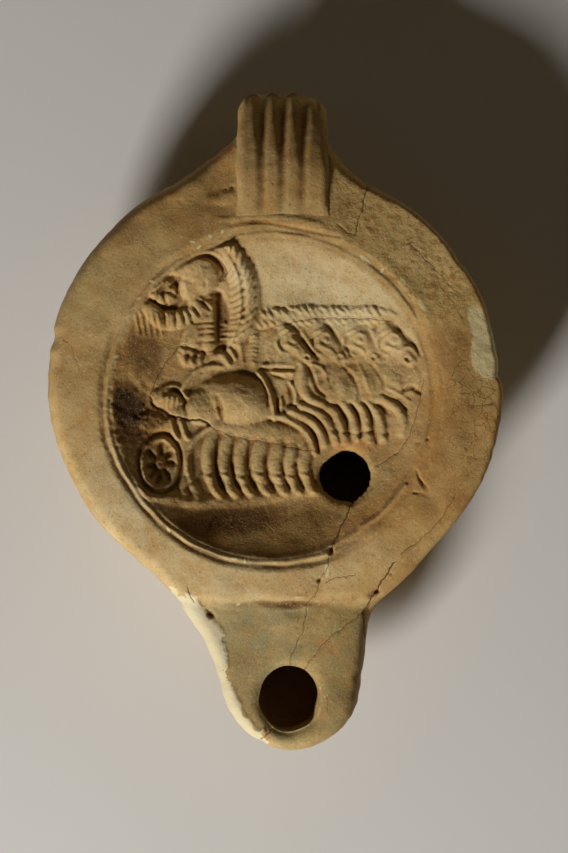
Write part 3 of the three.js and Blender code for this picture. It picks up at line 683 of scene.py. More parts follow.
def form(x, y):
    """Height of the plain upper skin, without picture, wear or edge."""
    distance, bearing = from_disc(x, y)
    outer = plain_top(x, y) + 0.12 * hump(distance, 34.5, 2.6)
    dish = RIM_Z - LIP - DISC_DEPTH * (1 - np.minimum(distance / DISC_RADIUS, 1)**DISC_POWER)
    edge = mix(RIM_Z - LIP, RIM_Z, smooth(distance, DISC_RADIUS, RIM_RADIUS - 0.6))
    height = np.where(distance < DISC_RADIUS, dish, np.where(distance < RIM_RADIUS, edge, outer))
    left = ring_left(bearing)
    turn = np.radians(bearing)
    crisp = 0.8 + 0.2 * np.sin(9 * turn + 1) + 0.15 * np.sin(23 * turn) - 0.45 * hump(bearing, 112, 20)
    crisp = np.clip(crisp - 0.1 * hump(bearing, 62, 16), 0.1, 1) * left
    wander = 0.12 * np.sin(7 * turn) + 0.06 * np.sin(31 * turn)
    out = distance + wander - RING
    away = 0.5 + 0.5 * np.cos(turn - math.radians(50))
    easy = 0.45 + 1.05 * away
    height += crisp * ((0.45 - 0.3 * away) * hump(out, -0.75, 0.8)
                       + 0.22 * away * hump(out, 1.5, 1.1)
                       - (0.6 - 0.34 * away) * hump(out, 0, np.where(out < 0, 0.4 - 0.1 * away, easy)))
    height -= 0.22 * hump(out, -1.25, 0.3) * hump(bearing, -135, 45)
    height -= (1 - left) * 0.3 * hump(distance, 29.6, 1.6)
    # clay drawn up to the handle's foot, and the shallow step at the nozzle's root
    beside = np.maximum(abs(x - HANDLE_X) - HANDLE_WIDTH / 2, 0)
    height += 0.35 * np.exp(-beside / 1.6) * smooth(y, 32, 37) * (1 - smooth(y, 42, 46))
    height -= 1.5 * smooth(HANDLE_WIDTH / 2 - 0.8 - abs(x - HANDLE_X), 0, 0.8) * smooth(y, 35, 37)
    return height


CRACK_STEP = 0.15
SHOULDER_CRACK = [(23.3, 26.9), (25.8, 23.8), (29, 20.6), (32.6, 16.6)]


def crack_lines():
    """Each crack as close-set points with its width, how dark it looks and how orange."""
    picture, lamp = PICTURE, np.zeros(2)
    listed = [
        (picture, 0.17, 0.6, 0.5, [(-3.5, 11.2), (-2, 11.5), (0, 12.3), (3.5, 13.2), (8, 14), (14, 14),
                                   (19, 13.8), (22, 13.3)]),
        (picture, 0.2, 0.6, 0.3, [(-15, 9.4), (-16.5, 8.8), (-19.1, 5.6), (-21, 2), (-21.7, -0.3)]),
        (picture, 0.36, 1.0, 0.0, [(-21.7, -0.3), (-21, -1.6), (-18, -3.4), (-15.6, -4.1), (-12, -4.5),
                                   (-10.9, -5.3)]),
        (picture, 0.17, 0.6, 0.4, [(-10.9, -5.3), (-9, -6.4), (-6.4, -7.3), (-3, -8), (0, -8.4), (2.5, -9),
                                   (5, -9.5), (8.8, -10)]),
        (picture, 0.17, 0.55, 0.5, [(27.5, 3), (26.8, -1), (26, -4), (25, -7), (23, -10), (19, -12.7)]),
        (picture, 0.24, 0.8, 0.2, [(15, -18.8), (13.5, -22), (12, -25), (10.9, -27.6)]),
        (lamp, 0.2, 0.6, 0.9, [(11.7, -27.3), (10.1, -30.1), (9.2, -33.5), (8, -35.1), (7.7, -37.2),
                               (6, -39.2), (5.6, -41.9), (5.1, -44.3), (4, -46.7), (2.9, -49.4),
                               (2.5, -51.5)]),
        (lamp, 0.2, 0.6, 0.9, [(15.9, -41), (12, -44), (9.6, -45.8), (6.9, -49.1), (5.15, -51.5)]),
        (lamp, 0.2, 0.5, 0.5, [(9.3, -35.4), (11.5, -34.6), (14.4, -34.3)]),
        (lamp, 0.25, 0.6, 0.3, [(-15.8, -36.6), (-14.6, -39.2)]),
        (lamp, 0.16, 0.4, 0.8, [(8.6, -54.8), (9.4, -56.6), (9.6, -58.7)]),
        (lamp, 0.35, 0.8, 1.0, [(-0.5, -62.3), (-1.6, -63.2), (-2.6, -64.4)]),
        (lamp, 0.18, 0.35, 0.5, SHOULDER_CRACK),
        (lamp, 0.22, 0.5, 0.5, [(32.6, -19.7), (31.5, -21.5), (29.5, -24.6), (25.8, -28.2), (22.8, -30.2)]),
        (lamp, 0.22, 0.6, 0.4, [(16.6, 35.7), (15.7, 31.5), (14.7, 28.6), (14.4, 26.8), (11.4, 28.4)]),
        (lamp, 0.18, 0.35, 0.5, [(-38.9, 9.0), (-36.6, 6.8), (-35.2, 2.8)]),
        (lamp, 0.28, 0.8, 0.2, [(21.5, -32), (19.8, -34.6), (18.3, -37), (17.2, -38.9), (16.1, -41),
                                (16.1, -44), (16.5, -47)]),
    ]
    lines = []
    for start, width, dark, orange, points in listed:
        line, _ = curve(np.array(points) + start, CRACK_STEP)
        run = np.gradient(line, axis=0)
        side = np.stack([-run[:, 1], run[:, 0]], 1) / np.linalg.norm(run, axis=1)[:, None]
        s = np.arange(len(line)) * CRACK_STEP + line[0, 0]
        shake = 0.1 * np.sin(1.9 * s) + 0.05 * np.sin(5.1 * s + 1) + 0.025 * np.sin(11.7 * s + 2)
        lines.append((line + side * shake[:, None], width, dark, orange))
    return lines


BLOCK = 4000  # places measured at once, to spare memory


def beside(x, y, line):
    """Distance of each place from an open line, counted negative on the line's left."""
    run = np.gradient(line, axis=0)
    gap = np.empty(x.shape)
    for k in range(0, len(x), BLOCK):
        dx, dy = x[k:k + BLOCK, None] - line[:, 0], y[k:k + BLOCK, None] - line[:, 1]
        away = np.hypot(dx, dy)
        nearest = away.argmin(1)[:, None]
        dx, dy, away = (np.take_along_axis(v, nearest, 1)[:, 0] for v in (dx, dy, away))
        ahead = run[nearest[:, 0]]
        gap[k:k + BLOCK] = away * np.sign(ahead[:, 1] * dx - ahead[:, 0] * dy)
    return gap


def near_line(x, y, line, margin):
    """True for places in the box that holds a line and a margin round it."""
    (left, bottom), (right, top) = line.min(0) - margin, line.max(0) + margin
    return (x > left) & (x < right) & (y > bottom) & (y < top)


def crack_places(x, y):
    """For each place: half-widths from the nearest crack, signed by side, how dark and how orange it is."""
    steps, dark, orange = np.full(x.shape, 4.0), np.zeros(x.shape), np.zeros(x.shape)
    for line, width, strength, warm in crack_lines():
        near = np.flatnonzero(near_line(x, y, line, 1))
        gap = beside(x[near], y[near], line)
        closer = abs(gap) < abs(steps[near]) * width / 2
        spot, gap = near[closer], gap[closer]
        steps[spot] = gap / (width / 2)
        dark[spot] = strength * np.exp(-(gap / 0.6)**2)
        orange[spot] = warm
    return steps, dark, orange


# The plaster down the nozzle's left side stops at this ragged line.
PLASTER = [(-19.6, -36.9), (-17.0, -38.2), (-14.9, -37.8), (-13.6, -39.6), (-12.5, -40.7), (-12.2, -41.9),
           (-11, -42.5), (-9.35, -44.6), (-9.5, -46.2), (-8.9, -47.3), (-8.5, -50.3), (-8.7, -52.4),
           (-7.4, -54.8), (-6.5, -56.6), (-5.3, -59.3), (-3.2, -61.7), (-1.4, -63.2), (-1.0, -66.8)]


def make_wear():
    """Cracks, chips, pits, repairs and the uneven hand of the potter, over the whole upper skin."""
    clay = lamp_sheet()
    cracks = lamp_sheet()
    for line, width, dark, _ in crack_lines():
        clay.add(line[::3], width + 0.25, -0.6 * dark * width, 0.8)
        cracks.lay(line[::3], 0.9, 1.0, 1.0)
    corner = clay.window(np.array([-24, -68]), np.array([1, -36]))
    band = beside(clay.x[corner].ravel(), clay.y[corner].ravel(),
                  np.array(PLASTER)).reshape(clay.x[corner].shape)
    clay.z[corner] += 0.28 * smooth(band, 0.0, 0.35) * smooth(-clay.y[corner], 36, 39)

    # line where the nozzle meets the shoulder
    clay.add([(-13.4, -38.8), (-9, -39.4), (-5.9, -39.5), (-2.6, -39.2), (0.4, -39.5), (3, -39.6),
              (5.7, -39.3), (9, -39.6), (11, -38.6)], [0.7, 1.0, 1.1, 1.3, 1.5, 1.3, 1.0, 0.6],
             [-0.08, -0.16, -0.3, -0.2, -0.5, -0.6, -0.4, -0.2, -0.08])
    clay.add([(10.5, -38.3), (13, -38.1), (15.4, -38)], 0.7, -0.2)
    clay.add([(-11.5, -40.2), (-8.9, -40.7), (-6, -40.6)], 0.6, -0.12)
    clay.press(3.7, -40.9, 2.4, 1.4, -0.2)
    clay.press(4.5, -38.2, 1.6, 0.7, 0.2)
    clay.press(-11.7, -41.3, 1.1, 0.45, -0.8, turn=-38)
    clay.add([(-8.2, 28.6), (-3.8, 29.2), (0, 28.9), (7, 27.5), (11.6, 26.5)],
             [0.6, 1.1, 0.9, 1.1, 0.7], -0.22)
    clay.add([(-10, 29.6), (-4, 30.2), (3, 29.9), (8.5, 28.6)], [0.5, 0.9, 0.9, 0.6], 0.2)
    # fill in the disc, remodelled ledge, pits
    clay.add([(15.2, -25.6), (19.2, -23.1), (23.5, -18.1)], 0.9, 0.3)
    clay.add([(25.6, -15.5), (26.1, -17.1), (27.7, -19.4)], [0.5, 0.8, 0.4], [-0.2, -0.45, -0.2])
    clay.add([(25.0, -19.4), (26.4, -19.6), (27.8, -19.9)], 0.6, -0.3)
    for x, y, size, depth in ((26.5, -8.5, 0.5, 0.5), (28.3, -7.7, 0.4, 0.3), (10.9, -27.6, 0.7, 0.7),
                              (-8.2, 21.0, 0.4, 0.3), (4, 20.6, 0.4, 0.25), (1.5, 23.0, 0.35, 0.3)):
        clay.press(x + PICTURE[0], y + PICTURE[1], size, size * 0.8, -depth, turn=40)
    # pits and chips outside the disc
    for x, y, size, depth in ((10.1, -30.1, 0.7, 0.7), (8.0, -35.1, 0.6, 0.5), (18.4, -37.2, 0.6, 0.6),
                              (16.5, -41, 0.8, 0.6), (15, -52.4, 0.8, 0.5), (-7.7, 35.4, 0.6, 0.4),
                              (6.0, 44.2, 0.4, 0.3), (4.7, 39.0, 0.4, 0.3), (-2.4, 22.4, 0.4, 0.3),
                              (-33.5, 10.3, 0.45, 0.3), (-36.1, -7.2, 0.4, 0.25), (35.2, -13.0, 0.5, 0.3),
                              (-28.8, -24.4, 0.4, 0.25), (29.6, 22.8, 0.5, 0.3), (-17.0, 33.0, 0.5, 0.25),
                              (-3.2, -62.0, 0.5, 0.3), (21.0, -34.0, 0.45, 0.3), (-6.3, -35.9, 0.4, 0.25)):
        clay.press(x, y, size, size * 0.75, -depth, turn=30)
    # lump of clay at the left of the handle's foot
    clay.press(-9.0, 33.6, 2.5, 1.5, 0.35, turn=12)
    clay.press(-11.4, 33.2, 1.8, 1.2, 0.2)
    # restored stretch of the rim: flattened, with soft tool marks
    for bearing in (-52, -40, -27, -12, 6, 18):
        a = math.radians(bearing)
        clay.press(DISC[0] + 30 * math.cos(a), DISC[1] + 30 * math.sin(a), 2.6, 1.0, 0.14, turn=bearing + 90)
    # granular stretch at the upper right, the uneven surface everywhere, crust and small pits
    rough = smooth(clay.x + 0.8 * clay.y, 30, 46)
    clay.z += grain(clay.z.shape, 2.0, 8) * (0.012 + 0.024 * rough)
    clay.z += grain(clay.z.shape, 14, 9) * 0.07 + grain(clay.z.shape, 45, 10) * 0.12
    crust = hump(np.hypot((clay.x + 25.6) / 3.4, (clay.y + 5.0) / 7.0), 0, 1.3)
    clay.z += crust * (grain(clay.z.shape, 2.2, 12) * 0.1 - 0.3
                       * smooth(grain(clay.z.shape, 3.5, 13), 0.5, 1.6))
    few = grain(clay.z.shape, 3.2, 11)
    clay.z -= 0.28 * smooth(few, 2.9, 4.2)
    return clay, cracks


# --- one closed body from the skin ---------------------------------------------------------------------

OUTLINE_STEPS = 470
FINE = 0.235  # spacing of the surface's points in the picture and along cracks
ROW = 0.866  # distance between rows of points, as a share of their spacing
EDGE_ROWS = 0.03, 0.11, 0.27, 0.5, 0.85, 1.3  # how far in from the edge each row of points lies
HOLE_ROWS = -0.25, 0.0, 0.18, 0.4, 0.7
EDGE_CLEAR, HOLE_CLEAR = 1.55, 0.85  # how close to those the open lattice of points comes


def make_outline():
    """The lamp's edge as it really runs: a little askew, rippled and chipped."""
    line = even(plan(), OUTLINE_STEPS)
    askew = smooth(np.hypot(*line.T), 30, 40) * (1 - nozzle_share(line[:, 1]))
    line[:, 1] -= 0.018 * line[:, 0] * askew
    off = 0.1 * ripple(len(line), range(6, 26), 21) + 0.035 * ripple(len(line), range(60, 150), 22)
    off += (1.1 * hump(line[:, 1], -49.2, 8.0)**0.5 - 0.55 * hump(line[:, 1], -61.5, 5.5)) * (line[:, 0] < 0)
    off += (0.8 * hump(line[:, 1], -50.5, 6.5) - 1.1 * hump(line[:, 1], -40.8, 4.4)**0.8) * (line[:, 0] > 0)
    off -= 0.55 * smooth(line[:, 1], 0.8, 2.0) * (1 - smooth(line[:, 1], 8, 17)) * (line[:, 0] > 0)
    chips = [((-40.3, 8.6), 1.5, 0.5), ((40.8, 1.2), 1.3, 0.45), ((-12.0, -44.8), 1.1, 0.35),
             ((15.2, -52.4), 1.0, 0.12), ((-22.5, -34.9), 1.5, 0.3), ((33.5, 23.0), 1.4, 0.3),
             ((-3.0, -65.6), 1.3, 0.4)]
    for place, half, depth in chips:
        off -= depth * hump(np.hypot(*(line - place).T), 0, half)
    return line + outward(line) * np.clip(off, -1.5, 1.25 * (line[:, 1] < -40) + 0.12)[:, None]


def distance_inside(x, y, line):
    """How far each place is from a closed line."""
    a, b = line, np.roll(line, -1, 0)
    run = b - a
    length = (run**2).sum(1)
    nearest = np.empty(len(x))
    for k in range(0, len(x), BLOCK):
        dx = x[k:k + BLOCK, None] - a[:, 0]
        dy = y[k:k + BLOCK, None] - a[:, 1]
        t = np.clip((dx * run[:, 0] + dy * run[:, 1]) / length, 0, 1)
        nearest[k:k + BLOCK] = np.sqrt(((dx - t * run[:, 0])**2 + (dy - t * run[:, 1])**2).min(1))
    return nearest


def within(x, y, line):
    """True for places inside a closed line."""
    a, b = line, np.roll(line, -1, 0)
    hits = np.zeros(len(x), int)
    for (ax, ay), (bx, by) in zip(a, b):
        spans = (ay > y) != (by > y)
        hits += spans & (x < (bx - ax) * (y - ay) / (by - ay + 1e-12) + ax)
    return hits % 2 == 1


def filling_edge(grow=0.0, count=96):
    """The filling hole's uneven edge: flattened at the upper left, notched at the bottom."""
    turn = np.linspace(0, 2 * np.pi, count, endpoint=False)
    degrees = np.degrees(turn)
    radius = FILLING_RADIUS + 0.05 - 0.45 * hump(degrees, 128, 26) + 0.4 * hump(degrees, 286, 9)
    radius += 0.1 * hump(degrees, 200, 30) + 0.04 * ripple(count, range(7, 30), 31) + grow
    return FILLING_HOLE + radius[:, None] * np.stack([np.cos(turn), np.sin(turn)], 1)


def wick_edge(grow=0.0, depth=0.0, count=96):
    """The wick hole's edge; deeper down its wall comes in at the lower right."""
    turn = np.linspace(0, 2 * np.pi, count, endpoint=False)
    flare = np.clip(np.cos(turn + math.radians(48)), 0, 1)
    shrink = 1 - 0.24 * depth * flare
    uneven = 0.07 * ripple(count, range(2, 9), 32) + grow
    return WICK_HOLE + np.stack([(WICK_HALF[0] * shrink + uneven) * np.cos(turn),
                                 (WICK_HALF[1] * shrink + uneven) * np.sin(turn)], 1)


class Skin:
    """The whole upper surface as one height over the plan."""

    def __init__(self):
        self.outline = make_outline()
        self.picture = make_picture()
        self.wear, self.cracks = make_wear()
        self.filling, self.wick = filling_edge(), wick_edge()
        self.shade_fields()

    def shade_fields(self):
        """Relief above and below its surroundings, which dirt and handling follow."""
        clay = self.picture.z + self.wear.at(self.picture.x + PICTURE[0], self.picture.y + PICTURE[1])
        self.hollow = picture_sheet()
        self.hollow.z = blur(clay, 9) - blur(clay, 1.5)
        whole = form(self.wear.x, self.wear.y) + self.wear.z
        self.sunk = lamp_sheet()
        self.sunk.z = blur(whole, 7) - blur(whole, 1.5)

    def height(self, x, y, inside):
        """Heights over the plan, from how far inside the edge each place is."""
        disc = 1 - smooth(from_disc(x, y)[0], 28.2, 29.3)
        top = form(x, y) + disc * self.picture.at(*on_picture(x, y)) + self.wear.at(x, y)
        top -= 0.55 * np.exp(-(distance_inside(x, y, self.filling) / 0.55)**1.5)
        top -= 0.75 * np.exp(-(distance_inside(x, y, self.wick) / 0.8)**1.5)
        rolled = EDGE_ROLL * (1 - 0.62 * smooth(x, 8, 28))
        roll = np.sqrt(1 - (1 - np.minimum(inside / rolled, 1))**4)
        return mix(seam_height(y), top, roll)

    def places(self):
        """Points over the plan, close together where the surface is busy."""
        rings = [self.outline]
        side = outward(self.outline)
        for inset in EDGE_ROWS:
            ring = self.outline - side * inset
            clear = distance_inside(*ring.T, self.outline) > inset * 0.9
            rings.append(ring[clear])
        holes = []
        for edge in (filling_edge, wick_edge):
            holes += [edge(grow) for grow in HOLE_ROWS]
        count = np.ceil(np.subtract(SHEET_HIGH, SHEET_LOW) / (FINE * np.array([1, ROW]))).astype(int)
        i, j = np.meshgrid(np.arange(count[0]), np.arange(count[1]), indexing="ij")
        x = SHEET_LOW[0] + FINE * (i + 0.5 * (j % 2))
        y = SHEET_LOW[1] + FINE * ROW * j
        busy = blur((abs(self.picture.z) > 0.12).astype(float), 4)
        relief = picture_sheet()
        relief.z = np.clip(busy * 3, 0, 1)
        near = lamp_sheet()
        near.z = np.clip(blur(self.cracks.z, 2.5) * 6, 0, 1)
        distance, _ = from_disc(x, y)
        in_disc = distance < PICTURE_REACH
        wanted = (near.at(x, y) > 0.5) | (in_disc & (relief.at(*on_picture(x, y)) > 0.5))
        wanted |= (distance > RING_IN) & (distance < RING_OUT)
        coarse = (i % 2 == (j // 2) % 2) & (j % 2 == 0)
        keep = wanted | coarse
        x, y = x[keep], y[keep]
        x = x + 0.02 * np.sin(37.1 * y)
        inner = within(x, y, self.outline)
        x, y = x[inner], y[inner]
        keep = distance_inside(x, y, self.outline) > EDGE_CLEAR
        for edge in (self.filling, self.wick):
            gap = distance_inside(x, y, edge)
            keep &= (gap > HOLE_CLEAR) | (within(x, y, edge) & (gap > 0.5))
        lattice = np.stack([x[keep], y[keep]], 1)
        return np.vstack(rings + holes + [lattice])


def belly(seam, share):
    """How far the side has dropped, 0 at the seam and 1 at the base, at a share of the way in."""
    power = mix(1.7, 1.45, smooth(-seam[:, 1], 30, 52))
    return (1 - (1 - share)**power)**(1 / power)


def level(edge, z):
    """A ring of corners at one height."""
    return np.column_stack([edge, np.full(len(edge), float(z))])


def underside(outline):
    """Rings from the edge down to the middle of the base, as lists of corners."""
    direction = outline / np.linalg.norm(outline, axis=1)[:, None]
    z = seam_height(outline[:, 1])
    rings = []
    for share in (0.012, 0.04, 0.09, 0.16, 0.25, 0.36, 0.48, 0.6, 0.72, 0.83, 0.92, 0.97):
        flat = mix(outline, direction * BASE_RADIUS, 0.98 * share)
        rings.append(np.column_stack([flat, mix(z, 0.9, belly(outline, share))]))
    for radius, height in ((BASE_RADIUS + 0.25, 0.9), (BASE_RADIUS + 0.05, 0.3), (BASE_RADIUS - 0.25, 0.03),
                           (BASE_RADIUS - 0.7, 0), (18.1, 0), (17.8, 0.15), (17.5, 0.5), (17.2, 0.15),
                           (16.9, 0), (12, 0), (6, 0)):
        rings.append(level(direction * radius, height))
    return rings


def mesh_of(name, corners, faces):
    """A mesh in metres from corners in millimetres."""
    mesh = bpy.data.meshes.new(name)
    mesh.from_pydata([tuple(p) for p in corners * MM], [], faces)
    mesh.update()
    return mesh


def body_mesh(skin):
    """The body and nozzle as one closed mesh: the skin, the sides and the base."""
    flat = skin.places()
    count = len(skin.outline)
    edges = [(i, (i + 1) % count) for i in range(count)]
    made = delaunay_2d_cdt([tuple(p) for p in flat], edges, [], 1, 1e-5, False)
    faces = np.array(made[2])
    middle = flat[faces].mean(1)
    beyond = (faces < count).all(1) & ~within(*middle.T, skin.outline)
    faces = [tuple(face) for face in faces[~beyond].tolist()]
    top = np.column_stack([flat, skin.height(*flat.T, distance_inside(*flat.T, skin.outline))])
    top[:count, 2] = seam_height(skin.outline[:, 1])
    rings = underside(skin.outline)
    corners = np.vstack([top] + rings + [[[0, 0, 0]]])
    upper, start = list(range(count)), len(top)
    for _ in rings:
        lower = list(range(start, start + count))
        faces += [(upper[(j + 1) % count], upper[j], lower[j], lower[(j + 1) % count]) for j in range(count)]
        upper, start = lower, start + count
    last = len(corners) - 1
    faces += [(upper[(j + 1) % count], upper[j], last) for j in range(count)]
    return mesh_of("lamp", corners, faces)


def closed_loft(name, rings, ends):
    """A closed skin over rings of equal count, drawn to a point at each end."""
    count = len(rings[0])
    corners = np.vstack([[ends[0]]] + list(rings) + [[ends[1]]])
    faces = []
    for j in range(count):
        after = (j + 1) % count
        faces.append((0, 1 + after, 1 + j))
        for k in range(len(rings) - 1):
            a = 1 + k * count
            b = a + count
            faces.append((a + j, a + after, b + after, b + j))
        a = len(corners) - 1 - count
        faces.append((a + j, a + after, len(corners) - 1))
    return mesh_of(name, corners, faces)


def hollow_mesh():
    """The oil chamber and the nozzle's channel, one wall's thickness inside the skin."""
    line = even(plan(ears=False), 120)
    side = outward(line)
    seam = line - side * WALL
    direction = seam / np.linalg.norm(seam, axis=1)[:, None]
    floor_edge = direction * (BASE_RADIUS - 0.6 * WALL)
    rings = [level(floor_edge, WALL)]
    for share in (0.95, 0.8, 0.6, 0.4, 0.22, 0.08):
        flat = mix(seam, floor_edge, 0.98 * share)
        rings.append(np.column_stack([flat, mix(seam_height(seam[:, 1]), WALL + 0.9, belly(seam, share))]))
    rings.append(np.column_stack([seam, seam_height(seam[:, 1])]))
    for share in (0.02, 0.1, 0.3, 0.6, 1):
        p = line - side * (WALL + EDGE_ROLL * share)
        rise = (1 - (1 - share)**4)**0.5
        rings.append(np.column_stack([p, mix(seam_height(p[:, 1]), plain_top(*p.T) - WALL, rise)]))
    spoke = seam - DISC
    spoke /= np.linalg.norm(spoke, axis=1)[:, None]
    rim = DISC + spoke * (RIM_RADIUS - 0.4 * WALL)
    half = mix(line - side * (WALL + EDGE_ROLL), rim, 0.55)
    rings.append(np.column_stack([half, plain_top(*half.T) - WALL]))
    rings.append(level(rim, RIM_Z - WALL))
    for share in (1, 0.93, 0.84, 0.72, 0.55, 0.3):
        floor = RIM_Z - LIP - DISC_DEPTH * (1 - share**DISC_POWER) - WALL
        rings.append(level(DISC + spoke * DISC_RADIUS * share, floor))
    ends = (0, 0, WALL), (*DISC, RIM_Z - LIP - DISC_DEPTH - WALL)
    return closed_loft("hollow", rings, ends)


# --- handle --------------------------------------------------------------------------------------------

RIB = 3.7
RIB_DEPTH = 0.75


def strap():
    """Side view of the handle, y and z: off the shoulder, over, and back under into the body."""
    end = HANDLE_END
    runs = [([(HANDLE_FOOT, 26.6), (30.2, 27.5), (36, 27.75), (39.4, 27.05)], 60),
            ([(39.4, 27.05), (43, 26.3), (47, 24.8), (50.4, 22.9)], 54),
            ([(50.4, 22.9), (52.1, 21.9), (end, 20.8), (end, 19)], 24),
            ([(end, 19), (end, 13.5), (48.5, 8.4), (37, 8.2)], 30)]
    return np.vstack([bezier(*np.array(points), count)[:-1] for points, count in runs]
                     + [[(37, 8.2), (34.5, 12), (34.5, 22)]])


def rib_depth(across, back):
    """How deep the handle's surface is pressed in, across its width; deeper towards the back."""
    half = HANDLE_WIDTH / 2
    fluted = smooth(1.5 * RIB + 0.15 - abs(across), 0, 0.3)
    wave = (0.5 + 0.5 * np.cos(2 * np.pi * across / RIB))**mix(2.2, 1.0, back)
    corner = np.clip(HANDLE_CORNER - (half - abs(across)), 0, HANDLE_CORNER)
    rounded = HANDLE_CORNER - np.sqrt(HANDLE_CORNER**2 - corner**2)
    return fluted * wave * RIB_DEPTH * mix(0.55, 1.35, back) + rounded


def handle_mesh():
    """The ribbed ring handle, as slices across its width."""
    side = strap()
    middle = np.array([41.0, 18.0])
    slices = np.concatenate([[-0.5, -0.496, -0.488, -0.475], np.linspace(-0.455, 0.455, 62),
                             [0.475, 0.488, 0.496, 0.5]])
    toward = middle - side
    toward /= np.linalg.norm(toward, axis=1)[:, None]
    back = smooth(side[:, 0], 38, 50)
    foot = smooth(side[:, 0], 29.6, 33)
    under = 1 - smooth(side[:, 1], 17, 20)
    lumps = grain((len(slices), len(side)), 3.0, 41)
    rings = []
    for k, share in enumerate(slices[::-1]):
        across = share * HANDLE_WIDTH
        flutes = rib_depth(np.full(len(side), across), back)
        sag = 0.45 * np.exp(-((across - 3.0) / 3.0)**2) * back
        pressed = flutes * foot * (1 - 0.8 * under) + 0.025 * lumps[k] * foot - 0.1 * sag
        p = side + toward * pressed[:, None]
        # rounded rear corners, the right one more
        right, left = np.clip([(across - 1.5) / 6.7, (-across - 5.0) / 3.2], 0, 1)
        p[:, 0] -= (2.9 * right**1.8 + 2.6 * left**1.8) * back
        wide = HANDLE_X + across * (1 + 0.012 * np.sin(side[:, 0] * 0.7))
        rings.append(np.column_stack([wide, p]))
    ends = [(ring[0, 0], *middle) for ring in (rings[0], rings[-1])]
    return closed_loft("handle", rings, ends)


# --- cutters -------------------------------------------------------------------------------------------

def upright(name, edges, heights):
    """A cutter through the top, from one edge line per height."""
    rings = [level(edge, z) for edge, z in zip(edges, heights)]
    middle = edges[0].mean(0)
    return closed_loft(name, rings, ((*middle, heights[0]), (*middle, heights[-1])))


def finger_hole():
    """A cutter across the handle."""
    turn = np.linspace(0, 2 * np.pi, 64, endpoint=False)
    rings = []
    # narrow between the handle's sides, flared where it leaves them
    for x, grow in zip((-20, -7.3, -6.6, -5.8, 8.6, 9.4, 10.1, 30), (0.9, 0.9, 0.25, 0, 0, 0.25, 0.9, 0.9)):
        radius = FINGER_RADIUS + grow
        rings.append(np.column_stack([np.full(64, float(x)), FINGER_HOLE[0] + radius * np.cos(turn),
                                      FINGER_HOLE[1] + radius * np.sin(turn)]))
    return closed_loft("finger hole", rings, ((-20, *FINGER_HOLE), (30, *FINGER_HOLE)))


def joined(base, tools):
    """The base mesh with each tool joined to it or cut from it."""
    thing = bpy.data.objects.new("lamp", base)
    bpy.context.scene.collection.objects.link(thing)
    helpers = []
    for operation, mesh in tools:
        helper = bpy.data.objects.new(mesh.name, mesh)
        bpy.context.scene.collection.objects.link(helper)
        helpers.append(helper)
        cut = thing.modifiers.new(mesh.name, "BOOLEAN")
        cut.operation, cut.solver, cut.object = operation, "MANIFOLD", helper
    shape = bpy.data.meshes.new_from_object(thing.evaluated_get(bpy.context.evaluated_depsgraph_get()))
    thing.modifiers.clear()
    thing.data = shape
    for helper in helpers:
        bpy.data.objects.remove(helper)
    return thing


skin = Skin()
filling_cut = upright("filling hole", [filling_edge(grow) for grow in (-0.25, -0.2, 0.0, 0.0)],
                      (15, 19.5, 21.5, 33))
wick_cut = upright("wick hole", [wick_edge(0.0, depth) for depth in (1, 1, 0.35, 0.0, 0.0)],
                   (15.5, 17, 20.5, 23.2, 33))
lamp = joined(body_mesh(skin), [("UNION", handle_mesh()), ("DIFFERENCE", hollow_mesh()),
                                ("DIFFERENCE", filling_cut), ("DIFFERENCE", wick_cut),
                                ("DIFFERENCE", finger_hole())])


# --- what handling, dirt and repair have left on the surface, and painted light and shade -------------

def blot(x, y, places):
    """Soft-edged patches: middle x and y, half length and width, turn, strength."""
    total = np.zeros_like(x)
    for middle_x, middle_y, along, across, turn, strength in places:
        u, v = turned(x - middle_x, y - middle_y, turn)
        total = np.maximum(total, strength * np.exp(-((u / along)**2 + (v / across)**2)**1.5))
    return total


def trail(x, y, points, width, strength=1.0):
    """A soft-edged line of colour."""
    line, _ = curve(points, 0.5)
    gap = np.full(x.shape, np.inf)
    near = near_line(x, y, line, 3 * width)
    gap[near] = np.hypot(x[near, None] - line[:, 0], y[near, None] - line[:, 1]).min(1)
    return strength * np.exp(-(gap / width)**2)


